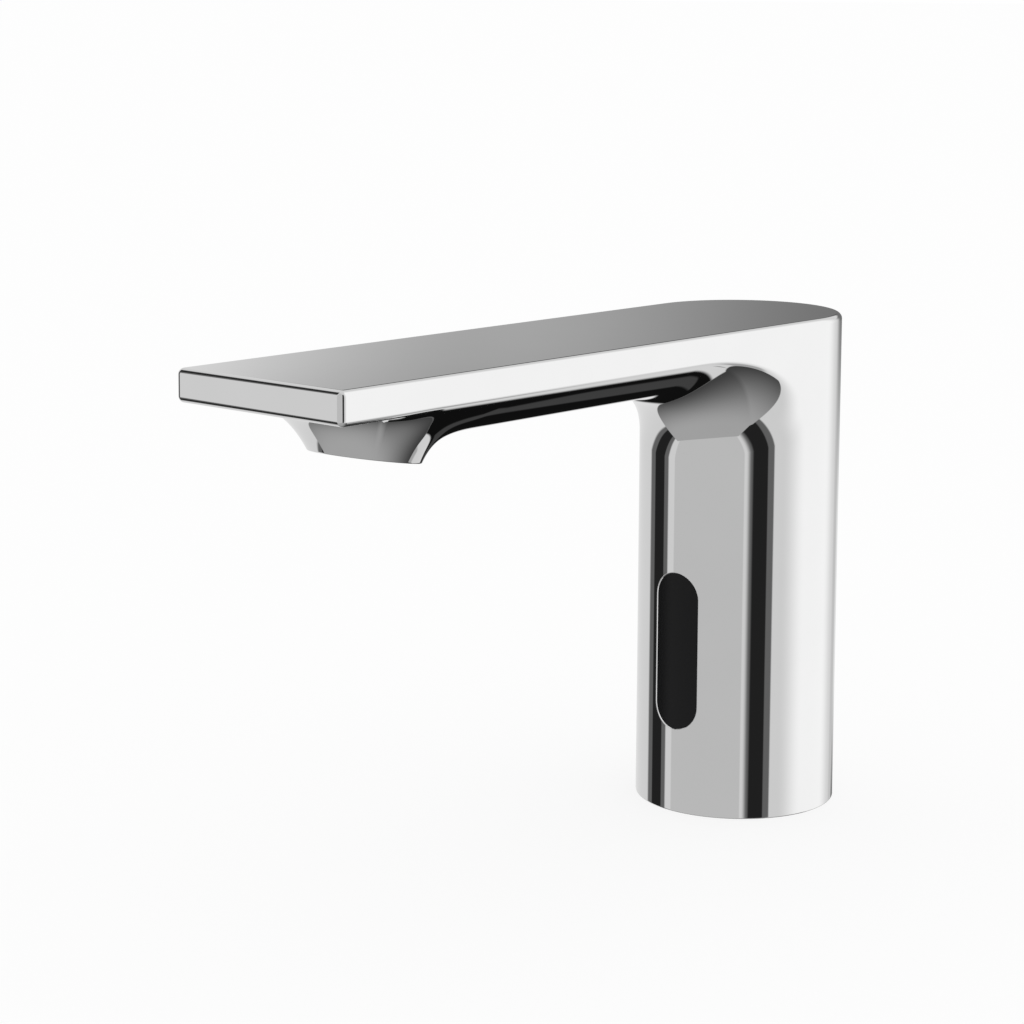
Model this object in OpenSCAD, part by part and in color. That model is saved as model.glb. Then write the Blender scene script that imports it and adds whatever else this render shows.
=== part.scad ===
// Sensor tap for a wash basin: an upright round body with a flat spout,
// an infrared sensor behind a black window, and inside it the solenoid valve,
// the check valve, the battery and the carrier that holds them.
// The deck is the plane z = 0, the body's axis is Z and the spout points along -Y.

/* [Body and spout] */
// Distance from the body's axis to the front edge of the spout
reach = 164.5; // [130:0.5:200]
// Height of the spout's side face
plate_t = 7.5; // [6.5:0.1:9]
// Rounding of the visible edges
edge_r = 1.5; // [0.8:0.1:2]
// Wall of the upright body
body_wall = 3; // [2.4:0.1:3.2]
// Depth of the curved belly below the flat underside
belly_depth = 9.5; // [8.5:0.1:11]
// Radius of the belly's section
belly_r = 35; // [33:0.5:40]
// Radius of the arch from the body up to the belly
arch_r = 20; // [18:0.5:30]
// Angle up the arch at which its flat sides begin
arch_start_angle = 8; // [7:1:12]
// Angle over which the arch turns from the body's roundness to the belly's
arch_turn_angle = 80; // [70:1:81]
// Metal above the body's cavity
roof_t = 15.3; // [14.5:0.1:17]
// Gap between the battery's lid and the roof of the body's cavity
head_gap = 2.6; // [2.4:0.1:12]
// Radius of the waterway along the spout
waterway_r = 4.5; // [3:0.1:4.8]
// Metal between the body's cavity and the waterway
waterway_floor = 2.1; // [1.8:0.1:2.6]

/* [Outlet] */
// Distance from the front edge of the spout to the centre of the outlet's rim
outlet_setback = 31.4; // [31:0.1:40]
// Depth of the centre of the outlet's rim below the top face
outlet_drop = 20.1; // [19.4:0.1:21.4]
// Lean of the outlet, which throws the jet towards the user
outlet_tilt = 9.9; // [0:0.1:12]
// Width of the outlet's rim round the aerator's seat
outlet_rim_w = 1.65; // [1.4:0.05:2.4]
// Radius of the seat for the aerator's thread
aerator_seat_r = 10.75; // [10.2:0.05:11.5]
// Radius of the throat behind the aerator
throat_r = 5; // [3.5:0.1:6]
// Flat band between the outlet's flare and the front edge of the spout
front_band = 2; // [1.8:0.1:4]
// Reach of the outlet's flare towards the body
flare_back_r = 30.6; // [28:0.1:34]
// Slope of the outlet's front wall, from its rim's plane
flare_front_angle = 52; // [48:1:60]
// Slope of the outlet's back wall, from its rim's plane
flare_back_angle = 77; // [65:1:80]

/* [Sensor] */
// Width of the window
window_w = 12.7; // [11:0.1:13.4]
// Height of the window
window_h = 39.5; // [36:0.5:42]
// Height of the window's lower end above the deck
window_z = 21; // [20:0.5:24]
// Flange of the window behind the body's wall
window_flange = 1.6; // [1.2:0.1:1.8]
// Depth of the window and its flange inside the body's wall
window_depth = 3.4; // [3:0.1:3.6]
// Thickness of the window's gasket
window_gasket_t = 0.6; // [0.4:0.1:0.8]
// Depth of the sensor's housing
housing_d = 6.2; // [5.6:0.1:6.3]
// Wall of the sensor's housing
housing_wall = 1; // [0.8:0.1:1.3]
// Thickness of the sensor's circuit board
board_t = 1.2; // [1:0.1:1.6]
// Radius of the infrared emitter and of the receiver
led_r = 2.5; // [1.5:0.1:3]

/* [Base] */
// Thickness of the base plate
base_t = 9; // [8.5:0.1:9.3]
// Spacing of the threaded holes for the fixing studs
stud_spacing = 31; // [30.6:0.1:36]
// Core radius of the stud thread
stud_hole_r = 3.4; // [2.5:0.1:3.4]
// Depth of the stud holes
stud_hole_h = 7; // [6:0.1:7.5]
// Width of the base gasket
base_gasket_w = 2.4; // [1.6:0.1:2.4]
// Thickness of the base gasket
base_gasket_t = 1.4; // [1:0.1:1.6]
// Radius of the set screw that locks the body to the base plate
set_screw_r = 2.5; // [2:0.1:2.6]
// Length of the set screw
set_screw_l = 3.9; // [3.4:0.1:4]

/* [Inlet] */
// Core radius of the inlet's thread
port_r = 7.5; // [6:0.1:7.6]
// Radius of the inlet connector's shank
shank_r = 10; // [9.7:0.1:10.1]
// Corner radius of the inlet connector's six-sided flange
hex_r = 12.6; // [12:0.1:12.6]
// Thickness of the six-sided flange
hex_t = 2; // [1.6:0.1:2.4]
// Length of the inlet connector's spigot
spigot_h = 6; // [5.6:0.1:6.4]
// Radius of the spigot
spigot_r = 7.6; // [7.4:0.05:7.8]
// Thickness of the spigot's O-ring
spigot_ring_t = 1.6; // [1.4:0.1:1.8]
// Radius of the throat that holds the strainer
strainer_throat_r = 5; // [4.4:0.1:5.2]
// Height of the strainer's basket
strainer_h = 6.2; // [5:0.1:6.4]
// Wall of the strainer
strainer_wall = 0.5; // [0.4:0.1:0.7]
// Number of slots round the strainer
strainer_slots = 8; // [6:1:10]

/* [Check valve] */
// Radius of the check valve's cartridge
check_r = 7; // [6.8:0.05:7.2]
// Travel of the check valve's poppet
check_travel = 2; // [1:0.1:2.2]
// Length of the check valve's spring when it is pressed together
check_spring_solid_h = 3.2; // [2.6:0.1:3.4]
// Radius of the poppet's disc
poppet_r = 4.6; // [4.2:0.1:4.8]
// Thickness of the poppet's disc
poppet_t = 1.6; // [1.2:0.1:1.8]
// Radius of the poppet's stem
poppet_stem_r = 1.5; // [1.2:0.1:1.6]

/* [Diaphragm valve] */
// Radius of the valve's round housing
valve_r = 10.6; // [10.4:0.05:10.6]
// Wall between the check valve and the ring-shaped chamber
valve_floor = 2.2; // [2:0.1:4]
// Width of the valve's wall round the diaphragm
valve_rim_w = 0.7; // [0.5:0.05:0.9]
// Radius of the valve's seat
seat_r = 5.4; // [5:0.1:5.6]
// Radius of the water's way through the seat
seat_bore_r = 4; // [3.6:0.1:4.3]
// Depth of the seat below the valve body's top
seat_depth = 2.5; // [2.3:0.1:2.6]
// Depth of the ring-shaped chamber
ring_chamber_h = 7; // [6.6:0.1:7.2]
// Width of the diaphragm's rim that the valve clamps
diaphragm_seat_w = 1.45; // [1.2:0.05:1.8]
// Thickness of the diaphragm's rim
diaphragm_rim_t = 1.5; // [1.3:0.1:1.6]
// Lift of the diaphragm's disc
disc_lift = 1.2; // [0.6:0.1:1.4]
// Radius of the diaphragm's disc
disc_r = 5.6; // [5.2:0.1:5.8]
// Thickness of the diaphragm's disc
disc_t = 1.8; // [1.4:0.1:2]
// Height of the bonnet
bonnet_h = 7; // [6.9:0.1:7.4]
// Spacing of the bonnet's screws from side to side
bonnet_screw_x = 29; // [28.6:0.1:29.4]
// Spacing of the bonnet's screws from front to back
bonnet_screw_y = 13; // [12:0.1:13]
// Radius of the bonnet's screw thread
bonnet_screw_r = 1.2; // [1:0.05:1.4]

/* [Solenoid] */
// Outer radius of the core tube
core_tube_r = 4.55; // [4.4:0.05:4.8]
// Wall of the core tube
core_tube_wall = 0.5; // [0.4:0.05:0.6]
// Length of the plunger
plunger_h = 11.2; // [10:0.1:11.4]
// Travel of the plunger
plunger_travel = 1.5; // [0.8:0.1:1.6]
// Outer radius of the coil's bobbin
coil_r = 9.5; // [8.5:0.1:9.8]
// Height of the coil's bobbin
coil_h = 15.2; // [15:0.1:15.4]
// Thickness of the steel bracket round the coil
bracket_t = 1.2; // [1:0.1:1.3]
// Height of the latching magnet
magnet_h = 2.1; // [1.6:0.1:2.2]
// Length of the connector between the coil and the sensor's housing
connector_l = 2.85; // [2.85:0.05:5]

/* [Battery and carrier] */
// Width of the battery
battery_w = 35; // [34:0.1:35]
// Depth of the battery
battery_d = 19.5; // [19:0.1:19.5]
// Height of the battery
battery_h = 36; // [35:0.1:36.2]
// Wall of the battery box
box_wall = 1; // [0.8:0.1:1]
// Floor of the battery box
box_floor = 1.2; // [1:0.1:1.4]
// Thickness of the battery box's lid
lid_t = 1.5; // [1.2:0.1:1.7]
// Wall of the carrier's upright sides
carrier_wall = 1.7; // [1.3:0.1:1.8]
// Thickness of the carrier's shelf
shelf_t = 1.4; // [1.2:0.1:1.6]

/* [Riser] */
// Gap between the battery box and the riser tube
riser_gap = 1.65; // [1.65:0.05:4]
// Outer radius of the riser tube
riser_r = 3.5; // [3.2:0.05:3.5]
// Wall of the riser tube
riser_wall = 1.1; // [0.8:0.1:1.2]
// Thickness of the riser's O-rings
riser_ring_t = 0.8; // [0.7:0.05:0.8]

/* [Aerator] */
// Depth of the aerator inside the outlet's rim
aerator_recess = 0.6; // [0.3:0.1:0.8]
// Wall of the aerator's housing
aerator_wall = 1.7; // [1.4:0.1:1.9]
// Height of the jet former
jet_former_h = 4; // [3.6:0.1:4.2]
// Pitch of the jet former's six-sided cells
cell_pitch = 2.2; // [2:0.1:2.4]
// Web between the jet former's cells
cell_web = 0.4; // [0.3:0.05:0.5]
// Thickness of the flow regulator
regulator_t = 1.2; // [0.8:0.1:1.3]
// Thickness of the aerator's washer
washer_t = 1; // [0.8:0.1:1.2]

/* [Clearances] */
// Gap between parts that fit into each other
fit_gap = 0.05; // [0.03:0.01:0.08]
// Gap between loose neighbours
loose_gap = 0.1; // [0.08:0.01:0.15]

/* [Hidden] */
$fn = 96;

// Overrun of cuts
over = body_wall;

// Battery box, riser and fixings, which stand side by side in the bore
box_corner = box_wall * 2;
box_inner_w = battery_w + loose_gap * 2;
box_inner_d = battery_d + loose_gap * 2;
box_w = box_inner_w + box_wall * 2;
box_d = box_inner_d + box_wall * 2;
box_y = box_wall * 0.2;
valve_boss_r = riser_r * 1.57;
riser_y = max(box_y + box_d / 2 + riser_gap + riser_r, valve_r + valve_boss_r + loose_gap);
stud_x = stud_spacing / 2;
lug_r = bonnet_screw_r * 2.5;
carrier_gap = loose_gap * 5;

// Bore of the body: the widest thing in it sets its radius
sensor_reach = coil_r + connector_l + housing_d + fit_gap + window_depth;
valve_reach = valve_r + loose_gap * 10 + housing_d + fit_gap + window_depth;
battery_reach = norm([box_w / 2 - box_corner, box_d / 2 + box_y - box_corner]) + box_corner + box_wall;
lug_reach = norm([bonnet_screw_x, bonnet_screw_y]) / 2 + lug_r + carrier_wall + carrier_gap + loose_gap;
stud_reach = stud_x + stud_hole_r + base_gasket_w + loose_gap * 5;
riser_reach = riser_y + valve_boss_r + loose_gap * 3;
bore_r = max(sensor_reach, valve_reach, battery_reach, lug_reach, stud_reach, riser_reach);
body_r = bore_r + body_wall;
body_d = body_r * 2;

// Sensor's height, which the shelf stays above
window_mid_z = window_z + window_h / 2;
housing_h = window_h + window_flange * 2 + housing_wall * 1.2;
housing_top_z = window_mid_z + housing_h / 2;

// Stack of the inner parts above the deck
hex_z = base_t;
valve_z = hex_z + hex_t;
spigot_top_z = valve_z + spigot_h;
check_z = spigot_top_z + loose_gap * 2;
check_floor = poppet_t;
check_roof = poppet_t * 0.75;
check_chamber_r = check_r * 0.8;
check_h = check_floor + poppet_t + check_travel + check_spring_solid_h + check_roof;
check_top_z = check_z + check_h;
ring_chamber_z = check_top_z + valve_floor;
valve_top_z = ring_chamber_z + ring_chamber_h;
valve_h = valve_top_z - valve_z;
diaphragm_r = valve_r - valve_rim_w - fit_gap;
ring_chamber_r = diaphragm_r - diaphragm_seat_w;
diaphragm_web_t = diaphragm_rim_t * 0.5;
seat_z = valve_top_z - seat_depth;
disc_z = seat_z + diaphragm_web_t * 1.8 + fit_gap * 2;
disc_top_z = disc_z + disc_t;
channel_r = riser_r - riser_wall;
channel_z = valve_top_z - diaphragm_rim_t - channel_r - loose_gap * 5;
bonnet_top_z = valve_top_z + bonnet_h;
tube_flange_h = bonnet_h * 0.29;
tube_z = bonnet_top_z - tube_flange_h;
pilot_h = tube_flange_h * 0.6;
plunger_z = tube_z + pilot_h + loose_gap;
plunger_top_z = plunger_z + plunger_h;
plunger_gap = plunger_travel + loose_gap * 3;
core_z = plunger_top_z + plunger_gap;
bracket_z = bonnet_top_z;
coil_z = bracket_z + bracket_t;
coil_top_z = coil_z + coil_h;
magnet_z = coil_top_z + bracket_t + fit_gap;
clip_t = bracket_t * 0.65;
clip_z = magnet_z + magnet_h + fit_gap;
tube_top_z = clip_z + clip_t + fit_gap * 4;
tube_bore_r = core_tube_r - core_tube_wall;
plunger_r = tube_bore_r - fit_gap * 1.6;
spring_well_r = plunger_r * 0.65;
spring_well_h = plunger_h * 0.35;
core_well_h = plunger_gap * 0.5;
shelf_z = max(tube_top_z + bracket_t * 0.7, housing_top_z + loose_gap);
box_z = shelf_z + shelf_t;
battery_z = box_z + box_floor;
battery_top_z = battery_z + battery_h;
contact_t = box_wall * 0.6;
lid_z = battery_top_z + contact_t + fit_gap * 2;

// Levels of the body
cavity_z = lid_z + lid_t + head_gap;
body_h = cavity_z + roof_t;
plate_z = body_h - plate_t;
belly_z = plate_z - belly_depth;
waterway_z = cavity_z + waterway_floor + waterway_r;
// Height of the step at which a blended surface starts on its neighbour
blend_step = edge_r / 7.5;
// How far the blended solids' flat sides lie inside the spout's
blend_inset = edge_r / 30;

// Arch: its axis lies across the spout, in front of the body and below the belly
arch_y = body_r + arch_r;
arch_z = belly_z - arch_r;
belly_side_sag = belly_r - sqrt(belly_r * belly_r - body_r * body_r);
arch_rings = 15;
arch_columns = 22;
arch_first_angle = 6;

// Flare of the outlet
outlet_y = reach - outlet_setback;
outlet_z = body_h - outlet_drop;
outlet_r = aerator_seat_r + outlet_rim_w;
flare_front_r = outlet_setback - front_band;
flare_side_r = body_r - edge_r * 0.8;
flare_rings = 9;
flare_columns = 60;
flare_side_turn_angle = 38;
flare_front_hold_share = 0.67;
flare_back_hold_share = 0.30;
flare_front_end_share = 0.13;
flare_back_end_share = 0.69;

// Fixings
screw_head_r = bonnet_screw_r * 2.2;
screw_head_h = bonnet_screw_r * 1.6;
lug_h = bonnet_h * 0.57;
foot_r = stud_hole_r;
foot_h = hex_t * 1.5;
foot_at = [stud_x * 0.775, stud_x * 0.68];
foot_screw_r = foot_r * 0.45;
foot_screw_depth = base_t * 0.55;
set_screw_z = base_t / 2;
set_screw_tip_y = bore_r - body_wall * 0.5;

// Gasket under the base plate
base_r = bore_r - loose_gap;
base_gasket_r = base_r - loose_gap * 3;

// Sensor, behind the front wall
window_back_y = bore_r - window_depth;
flange_face_r = bore_r - window_gasket_t;
housing_w = window_w + window_flange * 2 + housing_wall * 1.1;
housing_y = window_back_y - fit_gap;
housing_back_y = housing_y - housing_d;
board_y = housing_back_y + housing_wall + board_t;
led_l = housing_y - board_y - housing_wall * 0.3;
emitter_z = window_mid_z + window_h * 0.18;
receiver_z = window_mid_z - window_h * 0.18;

// Riser
riser_socket_r = riser_r + fit_gap;
riser_groove_r = riser_socket_r + riser_ring_t + fit_gap;
riser_ring_r = riser_socket_r + riser_ring_t / 2;
valve_boss_h = riser_r * 2.3;
roof_boss_r = riser_r * 1.4;
roof_boss_h = riser_r * 1.75;
riser_bottom_z = valve_top_z + fit_gap * 20;
riser_top_z = cavity_z + riser_r * 0.45;
riser_low_ring_z = riser_bottom_z + riser_r;
riser_high_ring_z = cavity_z - roof_boss_h / 2;
valve_boss_top_z = valve_top_z + valve_boss_h;

// Aerator, measured up from the outlet's rim
aerator_r = aerator_seat_r - fit_gap;
aerator_ledge = aerator_wall * 0.5;
former_r = aerator_r - aerator_wall - fit_gap;
former_z = aerator_recess + aerator_ledge + fit_gap;
screen_t = cell_web * 1.2;
screen_z = former_z + jet_former_h + fit_gap;
regulator_z = screen_z + screen_t + fit_gap;
washer_z = regulator_z + regulator_t + fit_gap;
aerator_seat_h = washer_z + washer_t;
aerator_top_z = washer_z - fit_gap;

// Smooth step from 0 to 1
function ease(t) = let (u = min(1, max(0, t))) u * u * (3 - 2 * u);
function cube_mix(a, b, c, d, t) =
    pow(1 - t, 3) * a + 3 * pow(1 - t, 2) * t * b + 3 * (1 - t) * t * t * c + t * t * t * d;

// Shapes used by more than one part
module tube(r_out, r_in, h) {
    difference() {
        cylinder(r = r_out, h = h);
        translate([0, 0, -over]) cylinder(r = r_in, h = h + over * 2);
    }
}

module ring(r, t) {
    rotate_extrude() translate([r, 0]) circle(r = t / 2);
}

// Rectangle with rounded corners, centred
module round_rect(w, d, r) {
    square([w - r * 2, d], center = true);
    square([w, d - r * 2], center = true);
    for (x = [-1, 1], y = [-1, 1]) translate([x * (w / 2 - r), y * (d / 2 - r)]) circle(r = r);
}

module round_block(w, d, h, r) {
    linear_extrude(height = h) round_rect(w, d, r);
}

// Cylinder that lies along Y, from y0 to y1
module bar_y(r, y0, y1) {
    translate([0, y0, 0]) rotate([-90, 0, 0]) cylinder(r = r, h = y1 - y0);
}

// Upright oblong with round ends, run along Y from -y_far to -y_near
module oblong_y(w, h, y_far, y_near) {
    translate([0, -y_near, window_mid_z]) rotate([90, 0, 0]) linear_extrude(height = y_far - y_near) {
        square([w, h - w], center = true);
        for (s = [-1, 1]) translate([0, s * (h - w) / 2]) circle(r = w / 2);
    }
}

// Moves a shape into the outlet's leaning frame, whose origin is the rim's centre
module at_outlet() {
    translate([0, -outlet_y, outlet_z]) rotate([-outlet_tilt, 0, 0]) children();
}

// Outside of the body

// Round upright with a rounded top edge
module upright() {
    cylinder(r = body_r, h = body_h - edge_r);
    cylinder(r = body_r - edge_r, h = body_h);
    translate([0, 0, body_h - edge_r]) ring(body_r - edge_r, edge_r * 2);
}

// Flat spout plate: three outlines, seen from the front, the side and above, cut each other
module spout_plate() {
    intersection() {
        translate([0, 0, plate_z + plate_t / 2]) rotate([90, 0, 0])
            linear_extrude(height = reach) round_rect(body_d, plate_t, edge_r);
        translate([-body_d, 0, plate_z + plate_t / 2]) rotate([90, 0, 90])
            linear_extrude(height = body_d * 2) round_rect(reach * 2, plate_t, edge_r);
        translate([0, 0, plate_z - over]) round_block(body_d, reach * 2, plate_t + over * 2, edge_r);
    }
}

// Curved belly under the plate, from inside the body to the middle of the outlet
module belly() {
    intersection() {
        translate([0, 0, belly_z + belly_r]) bar_y(belly_r, -outlet_y, 0);
        translate([-flare_side_r - edge_r / 4, -outlet_y, belly_z - over])
            cube([(flare_side_r + edge_r / 4) * 2, outlet_y, belly_depth + over + plate_t / 2]);
    }
}

// Sagitta of the arch's section at an angle, and the radius of its arc
function arch_turn(a) = ease((a - arch_start_angle) / arch_turn_angle);
function arch_sag(a) = body_r - (body_r - belly_side_sag) * arch_turn(a);
function arch_section_r(a) = let (s = arch_sag(a)) (s * s + body_r * body_r) / (2 * s);
// Distance of the arch's surface from its axis, at half-width x
function arch_rho(x, a) = let (r = arch_section_r(a))
    arch_r + r - sqrt(r * r - x * x) - blend_step * arch_turn(a);
// Distance from the arch's axis to the body's axis, or to the middle of the plate
function arch_far(a) = min(arch_y / cos(a), (plate_z + plate_t / 2 - arch_z) / sin(a));
function arch_ring(a) = let (half = body_r - blend_inset, far = arch_far(a)) [
        for (j = [0:arch_columns]) let (x = half * sin(-90 + 180 * j / arch_columns)) [x, arch_rho(x, a)],
        [half, far],
        [-half, far]];
function arch_place(p, a) = [p[0], -arch_y + p[1] * cos(a), arch_z + p[1] * sin(a)];

// Solid between the arch's surface, the plate and the body
module arch() {
    last_angle = 89.9;
    n = arch_columns + 3;
    points = [for (i = [0:arch_rings]) let (
                  a = arch_first_angle + (last_angle - arch_first_angle) * i / arch_rings)
              each [for (p = arch_ring(a)) arch_place(p, a)]];
    sides = [for (i = [0:arch_rings - 1], j = [0:n - 1]) let (
                p = i * n + j, q = i * n + (j + 1) % n)
             each [[p, q + n, q], [p, p + n, q + n]]];
    polyhedron(points = points, convexity = 6, faces = concat(sides,
        [[for (j = [0:n - 1]) j]],
        [[for (j = [n - 1:-1:0]) arch_rings * n + j]]));
}

// Belly's height and slope at half-width x
function belly_at(x) = belly_z + belly_r - sqrt(belly_r * belly_r - x * x);
function belly_slope(x) = abs(x) / sqrt(belly_r * belly_r - x * x);
function unit(v) = v / norm(v);
// One run of points up the flare at angle t round the outlet: 0 across the spout, 90 to its front
function flare_run(t) = let (
        s = sin(t), c = cos(t), front = (1 + s) / 2,
        wall = flare_back_angle + (flare_front_angle - flare_back_angle) * front,
        hold = flare_back_hold_share + (flare_front_hold_share - flare_back_hold_share) * front,
        end = flare_back_end_share + (flare_front_end_share - flare_back_end_share) * front,
        lean_c = cos(outlet_tilt), lean_s = sin(outlet_tilt),
        rim = [outlet_r * c, -outlet_y - outlet_r * s * lean_c, outlet_z + outlet_r * s * lean_s],
        rim_way = [cos(wall) * c, -cos(wall) * s * lean_c + sin(wall) * lean_s,
                   cos(wall) * s * lean_s + sin(wall) * lean_c],
        far = min(flare_side_r / max(abs(c), 0.001), s > 0 ? flare_front_r : flare_back_r),
        x = far * c,
        slope = s > 0 ? belly_slope(flare_side_r) * pow(cos(min(90, asin(s) * 90 / flare_side_turn_angle)), 2)
                      : belly_slope(x) * abs(c),
        foot = [x, -outlet_y - far * s, (s > 0 ? plate_z : min(belly_at(x), plate_z)) - blend_step],
        foot_way = unit([c, -s, slope]),
        d = norm(foot - rim))
    concat(
        [for (i = [0:flare_rings])
            cube_mix(rim, rim + rim_way * hold * d, foot - foot_way * end * d, foot, i / flare_rings)],
        [[foot[0], foot[1], plate_z + plate_t / 2]]);

// Solid between the outlet's rim, its flared wall and the plate
module flare() {
    n = flare_columns;
    m = flare_rings + 2;
    points = [for (k = [0:n - 1]) each flare_run(360 * k / n)];
    sides = [for (k = [0:n - 1], i = [0:m - 2]) let (
                p = k * m + i, q = ((k + 1) % n) * m + i)
             each [[p, q + 1, p + 1], [p, q, q + 1]]];
    middle = n * m;
    top = [[0, -outlet_y, plate_z + plate_t / 2]];
    polyhedron(points = concat(points, top), convexity = 6, faces = concat(sides,
        [[for (k = [n - 1:-1:0]) k * m]],
        [for (k = [0:n - 1]) [k * m + m - 1, ((k + 1) % n) * m + m - 1, middle]]));
}

// Visible parts

module spout_body() color("gainsboro") {
    difference() {
        union() {
            upright();
            spout_plate();
            belly();
            arch();
            flare();
        }
        // Cavity of the body, and the waterway from the riser to the outlet
        difference() {
            translate([0, 0, -over]) cylinder(r = bore_r, h = cavity_z + over);
            translate([0, riser_y, cavity_z - roof_boss_h])
                cylinder(r = roof_boss_r, h = roof_boss_h + over);
        }
        translate([0, riser_y, cavity_z - roof_boss_h - over])
            cylinder(r = riser_socket_r, h = riser_top_z + fit_gap * 2 - cavity_z + roof_boss_h + over);
        translate([0, riser_y, riser_high_ring_z - riser_ring_t * 0.7])
            cylinder(r = riser_groove_r, h = riser_ring_t * 1.4);
        translate([0, riser_y, riser_top_z]) cylinder(r = channel_r, h = waterway_z - riser_top_z);
        translate([0, 0, waterway_z]) bar_y(waterway_r, -outlet_y, riser_y + channel_r);
        at_outlet() {
            translate([0, 0, -over]) cylinder(r = aerator_seat_r, h = aerator_seat_h + over);
            cylinder(r = throat_r, h = waterway_z - outlet_z);
        }
        // Window, and the set screw behind it
        oblong_y(window_w, window_h, body_r + over, 0);
        translate([0, 0, set_screw_z]) bar_y(set_screw_r + fit_gap, 0, body_r + over);
    }
}

module sensor_window() color("black") {
    plug_gap = loose_gap * 2;
    intersection() {
        cylinder(r = body_r - fit_gap, h = cavity_z);
        oblong_y(window_w - plug_gap, window_h - plug_gap, body_r + over, window_back_y);
    }
    intersection() {
        cylinder(r = flange_face_r, h = cavity_z);
        oblong_y(window_w + window_flange * 2, window_h + window_flange * 2, bore_r, window_back_y);
    }
}

module window_gasket() color("dimgray") {
    difference() {
        intersection() {
            tube(bore_r, flange_face_r, cavity_z);
            oblong_y(window_w + window_flange * 2, window_h + window_flange * 2, bore_r + over, bore_r / 2);
        }
        oblong_y(window_w, window_h, bore_r + over, 0);
    }
}

module set_screw() color("dimgray") {
    translate([0, 0, set_screw_z]) difference() {
        bar_y(set_screw_r, set_screw_tip_y, set_screw_tip_y + set_screw_l);
        translate([0, set_screw_tip_y + set_screw_l / 2, 0]) rotate([-90, 0, 0])
            cylinder(r = set_screw_r / 2, h = set_screw_l, $fn = 6);
    }
}

// Base

module base_plate() color("peru") {
    difference() {
        cylinder(r = base_r, h = base_t);
        translate([0, 0, -over]) cylinder(r = shank_r + fit_gap, h = base_t + over * 2);
        translate([0, 0, -over])
            tube(base_gasket_r + fit_gap, base_gasket_r - base_gasket_w - fit_gap, base_gasket_t + over);
        for (s = [-1, 1]) {
            translate([s * stud_x, 0, -over]) cylinder(r = stud_hole_r, h = stud_hole_h + over);
            translate([s * foot_at[0], s * foot_at[1], base_t - foot_screw_depth])
                cylinder(r = foot_screw_r + fit_gap, h = foot_screw_depth + over);
        }
        translate([0, 0, set_screw_z]) bar_y(set_screw_r + loose_gap, set_screw_tip_y, bore_r + over);
    }
}

module base_gasket() color("black") {
    tube(base_gasket_r, base_gasket_r - base_gasket_w, base_gasket_t);
}

// Inlet

module inlet_connector() color("goldenrod") {
    step_r = (port_r + strainer_throat_r) / 2;
    difference() {
        union() {
            cylinder(r = shank_r, h = base_t + hex_t * 0.8);
            translate([0, 0, hex_z]) rotate([0, 0, 30]) cylinder(r = hex_r, h = hex_t, $fn = 6);
            translate([0, 0, hex_z + hex_t * 0.8])
                cylinder(r = spigot_r, h = spigot_h + hex_t * 0.2);
        }
        translate([0, 0, -over]) cylinder(r = port_r, h = base_t + over);
        translate([0, 0, base_t - fit_gap]) cylinder(r = step_r, h = hex_t * 0.6);
        cylinder(r = strainer_throat_r, h = spigot_top_z + over);
        translate([0, 0, valve_z + spigot_h / 2 - spigot_ring_t * 0.65])
            tube(spigot_r + over, spigot_r - spigot_ring_t + loose_gap, spigot_ring_t * 1.3);
    }
}

module inlet_o_ring() color("black") {
    socket_r = spigot_r + loose_gap * 2;
    translate([0, 0, valve_z + spigot_h / 2]) ring(socket_r - fit_gap - spigot_ring_t / 2, spigot_ring_t);
}

module inlet_strainer() color("silver") {
    step_r = (port_r + strainer_throat_r) / 2;
    basket_r = strainer_throat_r - loose_gap;
    flange_t = hex_t * 0.5;
    translate([0, 0, base_t + fit_gap]) difference() {
        union() {
            cylinder(r = step_r - loose_gap, h = flange_t);
            cylinder(r = basket_r, h = strainer_h);
        }
        translate([0, 0, -over])
            cylinder(r = basket_r - strainer_wall, h = strainer_h - strainer_wall + over);
        for (i = [0:strainer_slots - 1]) rotate([0, 0, 360 * i / strainer_slots])
            translate([0, -strainer_wall, flange_t + strainer_wall])
                cube([basket_r + over, strainer_wall * 2, strainer_h - flange_t - strainer_wall * 3]);
    }
}

// Check valve

module check_valve_housing() color("white") {
    translate([0, 0, check_z]) difference() {
        cylinder(r = check_r, h = check_h);
        translate([0, 0, -over]) cylinder(r = poppet_r * 0.74, h = check_floor + over * 2);
        translate([0, 0, check_floor]) cylinder(r = check_chamber_r, h = check_h - check_floor - check_roof);
        cylinder(r = poppet_stem_r + fit_gap * 1.6, h = check_h + over);
        for (i = [0:5]) rotate([0, 0, 60 * i]) translate([check_chamber_r * 0.72, 0, check_h / 2])
            cylinder(r = poppet_stem_r * 0.6, h = check_h);
    }
}

module check_valve_poppet() color("darkorange") {
    translate([0, 0, check_z + check_floor]) {
        cylinder(r = poppet_r, h = poppet_t);
        cylinder(r = poppet_stem_r, h = check_h - check_floor);
    }
}

module check_valve_spring() color("silver") {
    spring_in = poppet_stem_r + loose_gap * 2;
    translate([0, 0, check_z + check_floor + poppet_t])
        tube(spring_in + poppet_stem_r * 0.4, spring_in, check_h - check_floor - poppet_t - check_roof);
}

// Diaphragm valve

// Outline shared by the valve body's lugs and the bonnet's
module lug_block(h) {
    round_block(bonnet_screw_x + lug_r * 2, bonnet_screw_y + lug_r * 2, h, lug_r);
}

module at_bonnet_screws() {
    for (x = [-1, 1], y = [-1, 1]) translate([x * bonnet_screw_x / 2, y * bonnet_screw_y / 2, 0]) children();
}

drain_x = ring_chamber_r - loose_gap * 2;
drain_r = core_tube_wall;

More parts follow.
